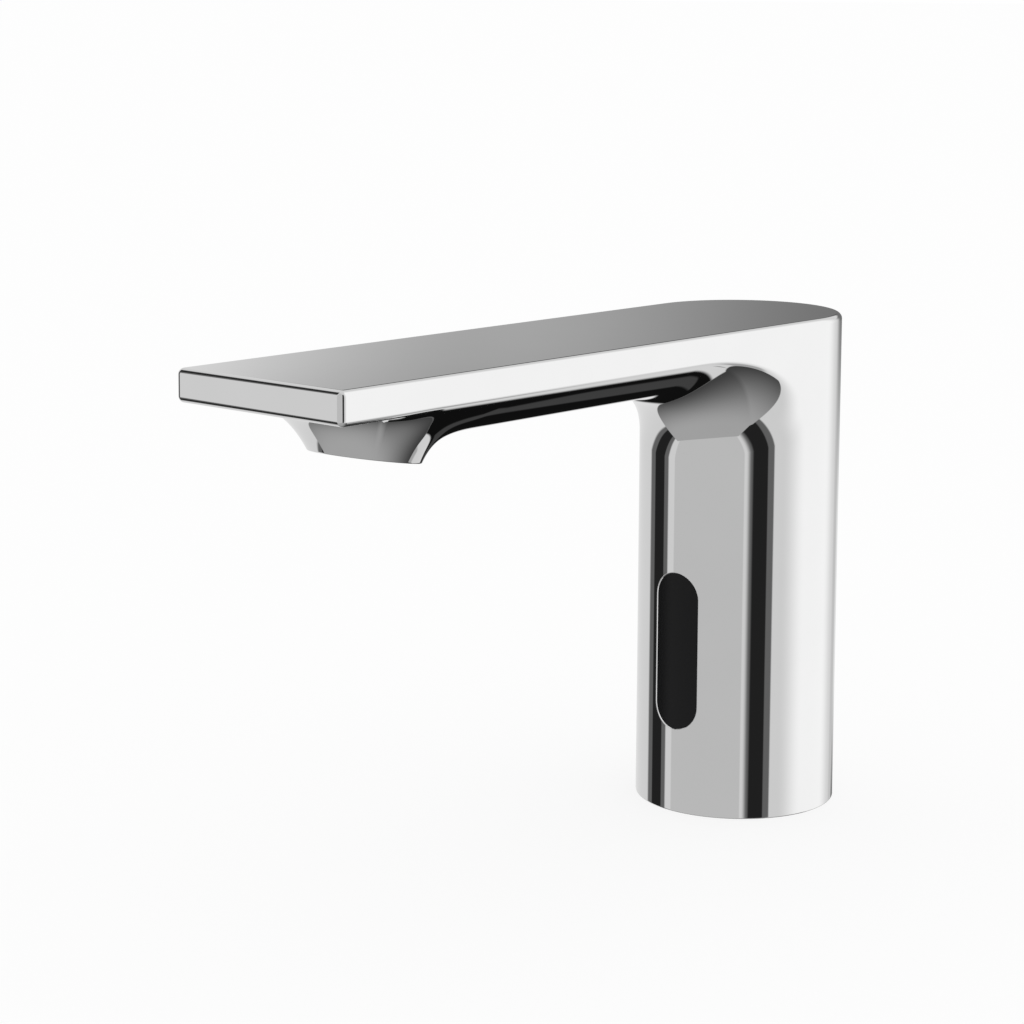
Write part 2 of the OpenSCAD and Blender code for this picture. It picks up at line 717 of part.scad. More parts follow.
module valve_body() color("gray") {
    foot_far = norm(foot_at);
    foot_angle = atan2(foot_at[1], foot_at[0]);
    boss_z = ring_chamber_z - valve_boss_r;
    difference() {
        union() {
            translate([0, 0, valve_z]) cylinder(r = valve_r, h = valve_h);
            translate([0, 0, valve_top_z - lug_h * 1.5]) lug_block(lug_h * 1.5);
            for (s = [0, 180]) rotate([0, 0, foot_angle + s]) {
                translate([0, -foot_r, valve_z]) cube([foot_far, foot_r * 2, foot_h]);
                translate([foot_far, 0, valve_z]) cylinder(r = foot_r, h = foot_h);
            }
            translate([0, riser_y, boss_z]) cylinder(r = valve_boss_r, h = valve_boss_top_z - boss_z);
            translate([-valve_boss_r, 0, boss_z])
                cube([valve_boss_r * 2, riser_y, valve_top_z - diaphragm_rim_t - boss_z]);
        }
        // Way in: the connector's spigot, the check valve and the seat
        translate([0, 0, valve_z - over])
            cylinder(r = spigot_r + loose_gap * 2, h = spigot_h + loose_gap + over);
        translate([0, 0, valve_z]) cylinder(r = check_r + fit_gap, h = check_top_z + fit_gap - valve_z);
        translate([0, 0, valve_z]) cylinder(r = seat_bore_r, h = valve_h + over);
        // Chamber round the seat, and the diaphragm's recess
        translate([0, 0, ring_chamber_z]) tube(ring_chamber_r, seat_r, ring_chamber_h + over);
        translate([0, 0, seat_z]) cylinder(r = ring_chamber_r, h = seat_depth + over);
        translate([0, 0, valve_top_z - diaphragm_rim_t])
            cylinder(r = diaphragm_r + fit_gap, h = diaphragm_rim_t + over);
        // Way out: across to the riser and up
        translate([0, 0, channel_z]) bar_y(channel_r, (seat_r + ring_chamber_r) / 2, riser_y);
        translate([0, riser_y, channel_z]) cylinder(r = channel_r, h = valve_boss_top_z);
        translate([0, riser_y, riser_bottom_z - fit_gap])
            cylinder(r = riser_socket_r, h = valve_boss_top_z);
        translate([0, riser_y, riser_low_ring_z - riser_ring_t * 0.7])
            cylinder(r = riser_groove_r, h = riser_ring_t * 1.4);
        at_bonnet_screws() translate([0, 0, valve_top_z - lug_h * 2])
            cylinder(r = bonnet_screw_r + fit_gap, h = lug_h * 2 + over);
        for (s = [-1, 1]) translate([s * foot_at[0], s * foot_at[1], valve_z - over])
            cylinder(r = foot_screw_r + loose_gap * 2, h = foot_h + over * 2);
    }
}

module diaphragm() color("black") {
    rim_in = ring_chamber_r - loose_gap * 8;
    low = seat_z + fit_gap;
    rim_z = valve_top_z - diaphragm_rim_t;
    difference() {
        union() {
            translate([0, 0, low]) cylinder(r = disc_r + loose_gap * 6, h = diaphragm_web_t * 1.6);
            translate([0, 0, low + diaphragm_web_t * 0.8])
                cylinder(r = rim_in + diaphragm_web_t / 2, h = diaphragm_web_t);
            translate([0, 0, rim_z]) tube(diaphragm_r, rim_in, diaphragm_rim_t);
        }
        cylinder(r = poppet_stem_r + fit_gap, h = valve_top_z + over);
        translate([drain_x, 0, seat_z - over]) cylinder(r = drain_r + fit_gap, h = over * 3);
    }
}

module diaphragm_disc() color("ivory") {
    guide_r = seat_bore_r - fit_gap * 3;
    guide_h = seat_depth * 1.1;
    guide_top_z = seat_z - fit_gap;
    difference() {
        union() {
            translate([0, 0, disc_z]) cylinder(r = disc_r, h = disc_t);
            translate([0, 0, guide_top_z - guide_h])
                cylinder(r = poppet_stem_r, h = disc_top_z - guide_top_z + guide_h);
            for (a = [0, 90]) rotate([0, 0, a])
                translate([-guide_r, -poppet_stem_r / 3, guide_top_z - guide_h])
                    cube([guide_r * 2, poppet_stem_r * 2 / 3, guide_h]);
        }
        cylinder(r = drain_r * 0.6, h = bonnet_top_z);
    }
}

module valve_bonnet() color("gray") {
    chamber_top_z = disc_top_z + disc_lift + loose_gap * 3;
    cross_z = valve_top_z + bonnet_h * 0.55;
    difference() {
        union() {
            translate([0, 0, valve_top_z]) cylinder(r = valve_r, h = bonnet_h);
            translate([0, 0, valve_top_z]) lug_block(lug_h);
        }
        translate([0, 0, valve_top_z - over])
            cylinder(r = drain_x - drain_r - loose_gap * 3, h = chamber_top_z - valve_top_z + over);
        // Pocket of the core tube, round the pilot's seat
        translate([0, 0, tube_z]) difference() {
            cylinder(r = core_tube_r + tube_flange_h * 0.75, h = tube_flange_h + over);
            cylinder(r = pilot_h, h = pilot_h);
        }
        // Pilot's way down to the ring-shaped chamber
        translate([0, 0, cross_z]) cylinder(r = drain_r, h = bonnet_h);
        translate([0, 0, cross_z]) rotate([0, 90, 0]) cylinder(r = drain_r, h = drain_x);
        translate([drain_x, 0, valve_top_z - over]) cylinder(r = drain_r, h = cross_z - valve_top_z + over);
        // Pressure's way up to the plunger
        translate([-tube_bore_r * 0.75, 0, valve_top_z]) cylinder(r = drain_r * 1.4, h = bonnet_h);
        at_bonnet_screws() translate([0, 0, valve_top_z - over])
            cylinder(r = bonnet_screw_r + loose_gap * 3, h = lug_h + over * 2);
    }
}

module bonnet_screws() color("silver") {
    at_bonnet_screws() difference() {
        union() {
            translate([0, 0, valve_top_z - lug_h * 1.7]) cylinder(r = bonnet_screw_r, h = lug_h * 2.7);
            translate([0, 0, valve_top_z + lug_h]) cylinder(r = screw_head_r, h = screw_head_h);
        }
        translate([0, 0, valve_top_z + lug_h + screw_head_h * 0.3])
            cylinder(r = bonnet_screw_r * 0.9, h = screw_head_h, $fn = 6);
    }
}

module foot_screws() color("silver") {
    for (s = [-1, 1]) translate([s * foot_at[0], s * foot_at[1], 0]) difference() {
        union() {
            translate([0, 0, base_t - foot_screw_depth + loose_gap])
                cylinder(r = foot_screw_r, h = foot_screw_depth - loose_gap + hex_t + foot_h);
            translate([0, 0, valve_z + foot_h]) cylinder(r = foot_r * 0.85, h = foot_h * 0.6);
        }
        translate([0, 0, valve_z + foot_h * 1.2]) cylinder(r = foot_screw_r * 0.8, h = foot_h, $fn = 6);
    }
}

// Solenoid

module core_tube() color("silver") {
    difference() {
        union() {
            translate([0, 0, tube_z]) cylinder(r = core_tube_r + tube_flange_h * 0.7, h = tube_flange_h);
            translate([0, 0, tube_z]) cylinder(r = core_tube_r, h = tube_top_z - tube_z);
        }
        translate([0, 0, tube_z - over])
            cylinder(r = tube_bore_r, h = tube_top_z - tube_z - core_tube_wall + over);
    }
}

seal_h = plunger_h * 0.1;

module plunger() color("lightsteelblue") {
    difference() {
        translate([0, 0, plunger_z]) cylinder(r = plunger_r, h = plunger_h);
        translate([0, 0, plunger_top_z - spring_well_h])
            cylinder(r = spring_well_r, h = spring_well_h + over);
        translate([0, 0, plunger_z - over]) cylinder(r = plunger_r / 2, h = seal_h + over);
    }
}

module plunger_seal() color("black") {
    translate([0, 0, plunger_z - loose_gap + fit_gap / 2])
        cylinder(r = plunger_r / 2 - fit_gap, h = seal_h + loose_gap - fit_gap);
}

module plunger_spring() color("silver") {
    spring_z = plunger_top_z - spring_well_h;
    translate([0, 0, spring_z])
        tube(spring_well_r - loose_gap, spring_well_r * 0.72, core_z + core_well_h - spring_z);
}

module fixed_core() color("lightsteelblue") {
    core_r = tube_bore_r - fit_gap;
    difference() {
        translate([0, 0, core_z]) cylinder(r = core_r, h = tube_top_z - core_tube_wall - fit_gap - core_z);
        translate([0, 0, core_z - over]) cylinder(r = spring_well_r, h = core_well_h + over);
    }
}

bobbin_flange = core_tube_wall * 1.8;
bobbin_in = core_tube_r + loose_gap;
bobbin_core_r = bobbin_in + core_tube_wall * 1.6;

module coil_bobbin() color("white") {
    translate([0, 0, coil_z]) {
        tube(bobbin_core_r, bobbin_in, coil_h);
        tube(coil_r, bobbin_in, bobbin_flange);
        translate([0, 0, coil_h - bobbin_flange]) tube(coil_r, bobbin_in, bobbin_flange);
    }
}

module coil_winding() color("orangered") {
    translate([0, 0, coil_z + bobbin_flange + fit_gap])
        tube(coil_r - core_tube_wall, bobbin_core_r + fit_gap, coil_h - (bobbin_flange + fit_gap) * 2);
}

module coil_bracket() color("slategray") {
    side = coil_r + loose_gap * 5;
    deep = coil_r * 0.84;
    difference() {
        translate([-side - bracket_t, -deep, bracket_z])
            cube([(side + bracket_t) * 2, deep * 2, coil_h + bracket_t * 2]);
        translate([-side, -deep - over, coil_z]) cube([side * 2, (deep + over) * 2, coil_h]);
        translate([0, 0, bracket_z - over]) cylinder(r = bobbin_in, h = coil_h + bracket_t * 2 + over * 2);
    }
}

module latch_magnet() color("dimgray") {
    translate([0, 0, magnet_z]) tube(coil_r * 0.9, bobbin_in, magnet_h);
}

module core_clip() color("silver") {
    translate([0, 0, clip_z]) difference() {
        tube(coil_r * 0.74, core_tube_r + fit_gap, clip_t);
        translate([-clip_t, 0, -over]) cube([clip_t * 2, coil_r, clip_t + over * 2]);
    }
}

// Plug-in contact between the sensor's housing and the coil
module coil_connector() color("white") {
    half = housing_w * 0.14;
    near = sqrt(coil_r * coil_r - half * half) + loose_gap * 2;
    translate([-half, -housing_back_y + fit_gap, coil_z + bobbin_flange * 2])
        cube([half * 2, housing_back_y - near - fit_gap, coil_h * 0.4]);
}

// Sensor

module sensor_housing() color("dimgray") {
    inner_w = housing_w - housing_wall * 2;
    inner_h = housing_h - housing_wall * 2;
    translate([-housing_w / 2, -housing_y, window_mid_z - housing_h / 2]) difference() {
        cube([housing_w, housing_d, housing_h]);
        translate([housing_wall, -over, housing_wall])
            cube([inner_w, housing_d - housing_wall + over, inner_h]);
    }
}

module sensor_board() color("green") {
    w = housing_w - housing_wall * 2 - loose_gap * 2;
    h = housing_h - housing_wall * 2 - loose_gap * 2;
    translate([-w / 2, -board_y, window_mid_z - h / 2]) cube([w, board_t - fit_gap, h]);
}

// Round case with a domed front, lying along Y on the board
module led() {
    dome = led_r * 0.5;
    translate([0, -board_y - fit_gap, 0]) rotate([90, 0, 0]) {
        cylinder(r = led_r, h = led_l - dome);
        intersection() {
            cylinder(r = led_r, h = led_l);
            translate([0, 0, led_l - led_r * 1.25]) sphere(r = led_r * 1.25);
        }
    }
}

module ir_emitter() color("midnightblue") {
    translate([0, 0, emitter_z]) led();
}

module ir_receiver() color("darkslategray") {
    translate([0, 0, receiver_z]) led();
}

// Carrier and battery

carrier_r = bore_r - carrier_gap;
carrier_in = carrier_r - carrier_wall;
carrier_front_angle = 50;
carrier_back_angle = 30;

module carrier() color("dimgray") {
    h = box_z - base_t;
    arm_h = housing_h * 0.1;
    difference() {
        union() {
            translate([0, 0, base_t]) tube(carrier_r, hex_r + loose_gap * 3, hex_t);
            // Upright sides: a shell cut to two sectors
            intersection() {
                translate([0, 0, base_t]) tube(carrier_r, carrier_in, h);
                for (s = [-1, 1]) translate([0, 0, base_t]) linear_extrude(height = h)
                    polygon([[0, 0],
                             [s * body_d * cos(carrier_front_angle), -body_d * sin(carrier_front_angle)],
                             [s * body_d * cos(carrier_back_angle), body_d * sin(carrier_back_angle)]]);
            }
            translate([0, 0, shelf_z]) cylinder(r = carrier_r, h = shelf_t);
            // Arms that hold the sensor's housing
            intersection() {
                translate([0, 0, base_t]) cylinder(r = carrier_r, h = h);
                for (s = [-1, 1], z = [0.15, 0.75])
                    translate([s > 0 ? housing_w / 2 + fit_gap : -body_r, -housing_y + housing_d * 0.25,
                               window_mid_z + housing_h * (z - 0.5)])
                        cube([body_r - housing_w / 2 - fit_gap, housing_d * 0.4, arm_h]);
            }
        }
        translate([0, riser_y, shelf_z - over]) cylinder(r = riser_r + loose_gap * 3, h = shelf_t + over * 2);
        translate([lead_x, -lead_y, shelf_z - over]) cylinder(r = lead_r + loose_gap, h = shelf_t + over * 2);
        for (s = [-1, 1]) translate([s * foot_at[0], s * foot_at[1], 0])
            cylinder(r = foot_screw_r + loose_gap * 2, h = shelf_z - over);
    }
}

module battery_box() color("white") {
    translate([0, box_y, 0]) difference() {
        translate([0, 0, box_z]) round_block(box_w, box_d, lid_z - box_z, box_corner);
        translate([0, 0, battery_z])
            round_block(box_inner_w, box_inner_d, battery_h * 2, box_corner - box_wall);
    }
}

module battery() color("gold") {
    translate([0, box_y, battery_z]) round_block(battery_w, battery_d, battery_h, box_corner * 1.5);
}

contact_x = battery_w * 0.23;

module battery_contacts() color("silver") {
    for (s = [-1, 1]) translate([s * contact_x, box_y, battery_top_z])
        cylinder(r = battery_d * 0.18, h = contact_t);
}

module battery_lid() color("dimgray") {
    translate([0, box_y, lid_z]) round_block(box_w, box_d, lid_t, box_corner);
}

lead_r = box_wall * 0.9;
lead_x = housing_w * 0.3;
lead_y = housing_y - housing_d * 0.75;

// Lead from the sensor's housing up to the lid's contacts
module battery_lead() color("red") {
    foot = window_mid_z + housing_h / 2;
    turn_z = lid_z + lid_t / 2;
    translate([lead_x, -lead_y, foot]) cylinder(r = lead_r * 0.8, h = turn_z - foot);
    translate([lead_x, -lead_y, turn_z]) sphere(r = lead_r * 0.8);
    translate([lead_x, 0, turn_z]) bar_y(lead_r * 0.8, -lead_y, box_y - box_d / 2);
}

// Riser

module riser_tube() color("white") {
    translate([0, riser_y, riser_bottom_z]) tube(riser_r, channel_r, riser_top_z - riser_bottom_z);
}

module riser_o_rings() color("black") {
    for (z = [riser_low_ring_z, riser_high_ring_z])
        translate([0, riser_y, z]) ring(riser_ring_r, riser_ring_t);
}

// Aerator, in the outlet's leaning frame

module aerator_housing() color("gainsboro") {
    at_outlet() translate([0, 0, aerator_recess]) difference() {
        cylinder(r = aerator_r, h = aerator_top_z - aerator_recess);
        translate([0, 0, -over]) cylinder(r = aerator_r - aerator_wall * 1.5, h = aerator_seat_h + over);
        translate([0, 0, aerator_ledge]) cylinder(r = aerator_r - aerator_wall, h = aerator_seat_h);
    }
}

cell_rings = 3;

module jet_former() color("lightgray") {
    cell_r = (cell_pitch - cell_web) / sqrt(3);
    at_outlet() translate([0, 0, former_z]) difference() {
        cylinder(r = former_r, h = jet_former_h);
        for (i = [-cell_rings:cell_rings], j = [-cell_rings:cell_rings]) if (abs(i + j) <= cell_rings)
            translate([cell_pitch * (i + j / 2), cell_pitch * j * sqrt(3) / 2, -over])
                rotate([0, 0, 30]) cylinder(r = cell_r, h = jet_former_h + over * 2, $fn = 6);
    }
}

module aerator_screen() color("silver") {
    at_outlet() translate([0, 0, screen_z]) cylinder(r = former_r, h = screen_t);
}

module flow_regulator() color("lightgreen") {
    at_outlet() translate([0, 0, regulator_z]) tube(former_r, former_r * 0.4, regulator_t);
}

module aerator_washer() color("black") {
    at_outlet() translate([0, 0, washer_z]) tube(aerator_r, former_r * 0.9, washer_t);
}

spout_body();
sensor_window();
window_gasket();
sensor_housing();
sensor_board();
ir_emitter();
ir_receiver();
base_plate();
base_gasket();
set_screw();
inlet_connector();
inlet_o_ring();
inlet_strainer();
check_valve_housing();
check_valve_poppet();
check_valve_spring();
valve_body();
diaphragm();
diaphragm_disc();
valve_bonnet();
bonnet_screws();
foot_screws();
core_tube();
plunger();
plunger_seal();
plunger_spring();
fixed_core();
coil_bobbin();
coil_winding();
coil_bracket();
latch_magnet();
core_clip();
coil_connector();
carrier();
battery_box();
battery();
battery_contacts();
battery_lid();
battery_lead();
riser_tube();
riser_o_rings();
aerator_housing();
jet_former();
aerator_screen();
flow_regulator();
aerator_washer();
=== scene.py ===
"""Dresses the sensor tap: its smooth chromed body, its window, the finishes, the studio and the camera.

Lengths in the classes are millimetres in the tap's own frame: the deck is z = 0, the body's axis is Z
and the spout points along -Y. Meshes are written in metres.
"""

import logging
import math
from collections.abc import Callable
from dataclasses import dataclass
from enum import Enum
from functools import cache

import bpy
import numpy as np
from mathutils import Euler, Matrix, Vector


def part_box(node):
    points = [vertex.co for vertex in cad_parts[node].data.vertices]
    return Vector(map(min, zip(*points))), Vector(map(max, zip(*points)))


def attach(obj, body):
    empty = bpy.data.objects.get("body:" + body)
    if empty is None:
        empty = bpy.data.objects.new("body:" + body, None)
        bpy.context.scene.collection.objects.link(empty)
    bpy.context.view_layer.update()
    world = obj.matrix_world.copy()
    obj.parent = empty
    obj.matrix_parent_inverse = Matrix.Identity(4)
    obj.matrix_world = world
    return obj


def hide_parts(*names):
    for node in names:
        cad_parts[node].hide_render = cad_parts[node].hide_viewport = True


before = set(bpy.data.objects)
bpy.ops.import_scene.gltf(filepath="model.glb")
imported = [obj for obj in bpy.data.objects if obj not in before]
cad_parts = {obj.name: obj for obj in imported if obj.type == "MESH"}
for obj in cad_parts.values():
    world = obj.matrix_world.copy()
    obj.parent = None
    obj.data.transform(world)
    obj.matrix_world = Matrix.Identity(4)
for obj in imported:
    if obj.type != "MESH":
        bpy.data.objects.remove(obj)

LOG = logging.getLogger("sensor_tap")
MM = 0.001
UP = np.array([0.0, 0.0, 1.0])
FRONT = np.array([0.0, -1.0, 0.0])
# Takes the height out of a point or a direction
LEVEL = np.array([1.0, 1.0, 0.0])
# Slack when two levels are compared, in millimetres
SLACK = 1e-9
# Gap round the set screw, in millimetres
SCREW_GAP = 0.05

# One value for every point, or one for each
Values = np.ndarray | list[float] | float
Surface = Callable[[np.ndarray, np.ndarray], np.ndarray]


def stacked(x: Values, y: Values, z: Values) -> np.ndarray:
    """Points or directions from three coordinates, each spread over the shape of the others."""
    return np.stack(np.broadcast_arrays(x, y, z), axis=-1)


def unit(vectors: np.ndarray) -> np.ndarray:
    """The same directions at length 1."""
    return vectors / np.linalg.norm(vectors, axis=-1, keepdims=True)


def round_out(azimuth: np.ndarray) -> np.ndarray:
    """Level directions away from the Z axis; azimuth 0 faces -Y and 90 degrees +X."""
    return stacked(np.sin(azimuth), -np.cos(azimuth), 0.0)


def box_mm(node: str) -> tuple[np.ndarray, np.ndarray]:
    """Lowest and highest corner of a CAD node, in millimetres."""
    low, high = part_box(node)
    return np.array(low) / MM, np.array(high) / MM


def normals_of(surface: Surface, u: np.ndarray, v: np.ndarray, outward: np.ndarray) -> np.ndarray:
    """Unit normals of a surface of two parameters.

    Each tangent is the difference of the surface over a small step of one parameter. The normal is the
    cross product of the two, turned to the side where outward points.

    Args:
        surface: Function of two arrays that returns their points.
        u: First parameter at each point.
        v: Second parameter at each point.
        outward: Rough outward direction at each point.

    Returns:
        Array of the same shape as the surface's points.
    """
    step = 1e-4
    along = surface(u + step, v) - surface(u - step, v)
    across = surface(u, v + step) - surface(u, v - step)
    normal = np.cross(along, across)
    side = np.sign(np.einsum("...k,...k->...", normal, outward))[..., None]
    return unit(normal) * side


def add_object(name: str, data: bpy.types.ID) -> bpy.types.Object:
    """Adds an object to the scene, at the origin."""
    added = bpy.data.objects.new(name, data)
    bpy.context.scene.collection.objects.link(added)
    return added


class Shell:
    """A closed surface put together from grids of points that share their edges."""

    weld = 0.002
    # Keeps round lengths off the borders between the weld's cells
    cell_shift = 0.3217

    def __init__(self) -> None:
        """Starts with no faces."""
        self._corners: list[np.ndarray] = []
        self._facing: list[np.ndarray] = []

    def add(self, points: np.ndarray, normals: np.ndarray, skip: np.ndarray | None = None) -> None:
        """Adds the four-sided faces of one grid, turned so that they face along its normals.

        Args:
            points: Rows x columns x 3, in millimetres.
            normals: Unit normals, broadcast to the points.
            skip: Rows - 1 x columns - 1, true where a face is left out.
        """
        normals = np.broadcast_to(normals, points.shape)
        quads, facing = (np.stack([grid[:-1, :-1], grid[1:, :-1], grid[1:, 1:], grid[:-1, 1:]], axis=2)
                         for grid in (points, normals))
        keep = np.ones(quads.shape[:2], bool) if skip is None else ~skip
        quads, facing = quads[keep], facing[keep]
        cross = np.cross(quads[:, 2] - quads[:, 0], quads[:, 3] - quads[:, 1])
        if np.einsum("ij,ij->", cross, facing.sum(axis=1)) < 0:
            quads, facing = quads[:, ::-1], facing[:, ::-1]
        self._corners.append(quads)
        self._facing.append(facing)

    def piece(self, name: str) -> bpy.types.Object:
        """Welds the grids and makes them an object with the surfaces' own normals.

        Points closer than the weld become one, and a face that loses a corner by it becomes a triangle.

        Args:
            name: Name of the piece.

        Returns:
            The new object, at the origin.
        """
        corners = np.concatenate(self._corners)
        facing = np.concatenate(self._facing)
        keys = np.floor(corners.reshape(-1, 3) / self.weld + self.cell_shift).astype(np.int64)
        _, first, index = np.unique(keys, axis=0, return_index=True, return_inverse=True)
        index = index.reshape(-1, 4)
        same = index == np.roll(index, -1, axis=1)
        lost = same.sum(axis=1)
        whole, cut = lost == 0, lost == 1
        quads, tris = index[whole], index[cut][~same[cut]].reshape(-1, 3)
        places = corners.reshape(-1, 3)[first] * MM
        mesh = bpy.data.meshes.new(name)
        mesh.from_pydata(places.tolist(), [], quads.tolist() + tris.tolist())
        mesh.polygons.foreach_set("use_smooth", np.ones(len(mesh.polygons), bool))
        loop_normals = np.concatenate([facing[whole].reshape(-1, 3), facing[cut][~same[cut]]])
        mesh.normals_split_custom_set(loop_normals.tolist())
        return add_object(name, mesh)


def turned(radii: Values, heights: Values, lean: Values,
           azimuth: np.ndarray) -> tuple[np.ndarray, np.ndarray]:
    """Turns a profile about the Z axis.

    A point is (r sin a, -r cos a, h), and its normal leans by lean from the radius towards +Z. Each
    of the first three is given point by point, or once for the whole profile.

    Args:
        radii: Radius along the profile.
        heights: Height along the profile.
        lean: Lean of the normal along the profile, in radians.
        azimuth: Angles round the axis, in radians.

    Returns:
        Points and normals, profile x azimuth x 3.
    """
    radii, heights, lean = (row[:, None, None] for row in np.broadcast_arrays(radii, heights, lean))
    out = round_out(azimuth)
    return radii * out + heights * UP, np.cos(lean) * out + np.sin(lean) * UP


@dataclass(frozen=True)
class WallOpening:
    """Round or upright oblong opening straight through a round wall.

    The wall round it is built along the opening's rays, in a block that reaches past the opening by
    its margins, below and above, and spans its half-angle to either side.
    """

    facing: float
    margins: tuple[float, float]
    half_angle: float
    z: float
    half_width: float
    half_straight: float
    lip: float = 0.15

    @classmethod
    def around(cls, node: str, facing: float, grow: float, margins: tuple[float, float],
               half_angle: float) -> "WallOpening":
        """Opening round a CAD node, wider than its box by so much on every side.

        Args:
            node: The node that stands in the opening.
            facing: Turn of the opening's direction from the front, in radians.
            grow: Distance from the node's box out to the opening's edge; less than 0 inside it.
            margins: The block's reach below and above the opening.
            half_angle: Half the block's width, in radians.

        Returns:
            The opening.
        """
        low, high = box_mm(node)
        half_width, _, half_height = (high - low) / 2 + grow
        return cls(facing, margins, half_angle, (low[2] + high[2]) / 2, half_width,
                   max(half_height - half_width, 0.0))

    def levels(self) -> tuple[float, float]:
        """Lowest and highest level of the block."""
        below, above = self.margins
        return (self.z - self.half_straight - self.half_width - below,
                self.z + self.half_straight + self.half_width + above)

    def rays(self, xi: np.ndarray, z: np.ndarray) -> tuple[np.ndarray, np.ndarray]:
        """Nearest point of the opening's middle line, and the direction from it to each point given.

        Args:
            xi: Distance across the opening's direction.
            z: Height.

        Returns:
            Heights on the middle line, and unit directions in the xi, z plane.
        """
        middle = self.z + np.clip(z - self.z, -self.half_straight, self.half_straight)
        return middle, unit(np.stack([xi, z - middle], axis=-1))

    def place(self, middle: np.ndarray, ray: np.ndarray, offset: Values, radius: Values,
              flat: bool = False) -> np.ndarray:
        """Points at an offset outside the opening's outline, on a round wall or a flat plane.

        The point goes out along its ray by half the width plus the offset. Its depth is the wall's:
        the root of radius^2 - xi^2, or the radius itself on a flat plane.

        Args:
            middle: Heights on the middle line.
            ray: Directions from the middle line.
            offset: Distance outside the outline; a column of them gives one ring each.
            radius: Radius of the wall, or distance of the plane.
            flat: True for a plane.

        Returns:
            Points in the tap's frame.
        """
        across = ray[..., 0] * (self.half_width + offset)
        height = middle + ray[..., 1] * (self.half_width + offset)
        depth = np.full_like(across, radius) if flat else np.sqrt(radius ** 2 - across ** 2)
        return self.in_tap(across, depth, height)

    def direction(self, ray: np.ndarray) -> np.ndarray:
        """The rays as directions in the tap's frame."""
        return self.in_tap(ray[..., 0], 0.0, ray[..., 1])

    def in_tap(self, across: np.ndarray, depth: Values, height: np.ndarray) -> np.ndarray:
        """Turns distances across and along the opening's direction into the tap's frame."""
        c, s = math.cos(self.facing), math.sin(self.facing)
        return stacked(across * c + depth * s, across * s - depth * c, height)

    def turn(self, points: np.ndarray, radius: float) -> np.ndarray:
        """Turn of a wall's points from the opening's direction."""
        across = points[:, 0] * math.cos(self.facing) + points[:, 1] * math.sin(self.facing)
        return np.arcsin(across / radius)


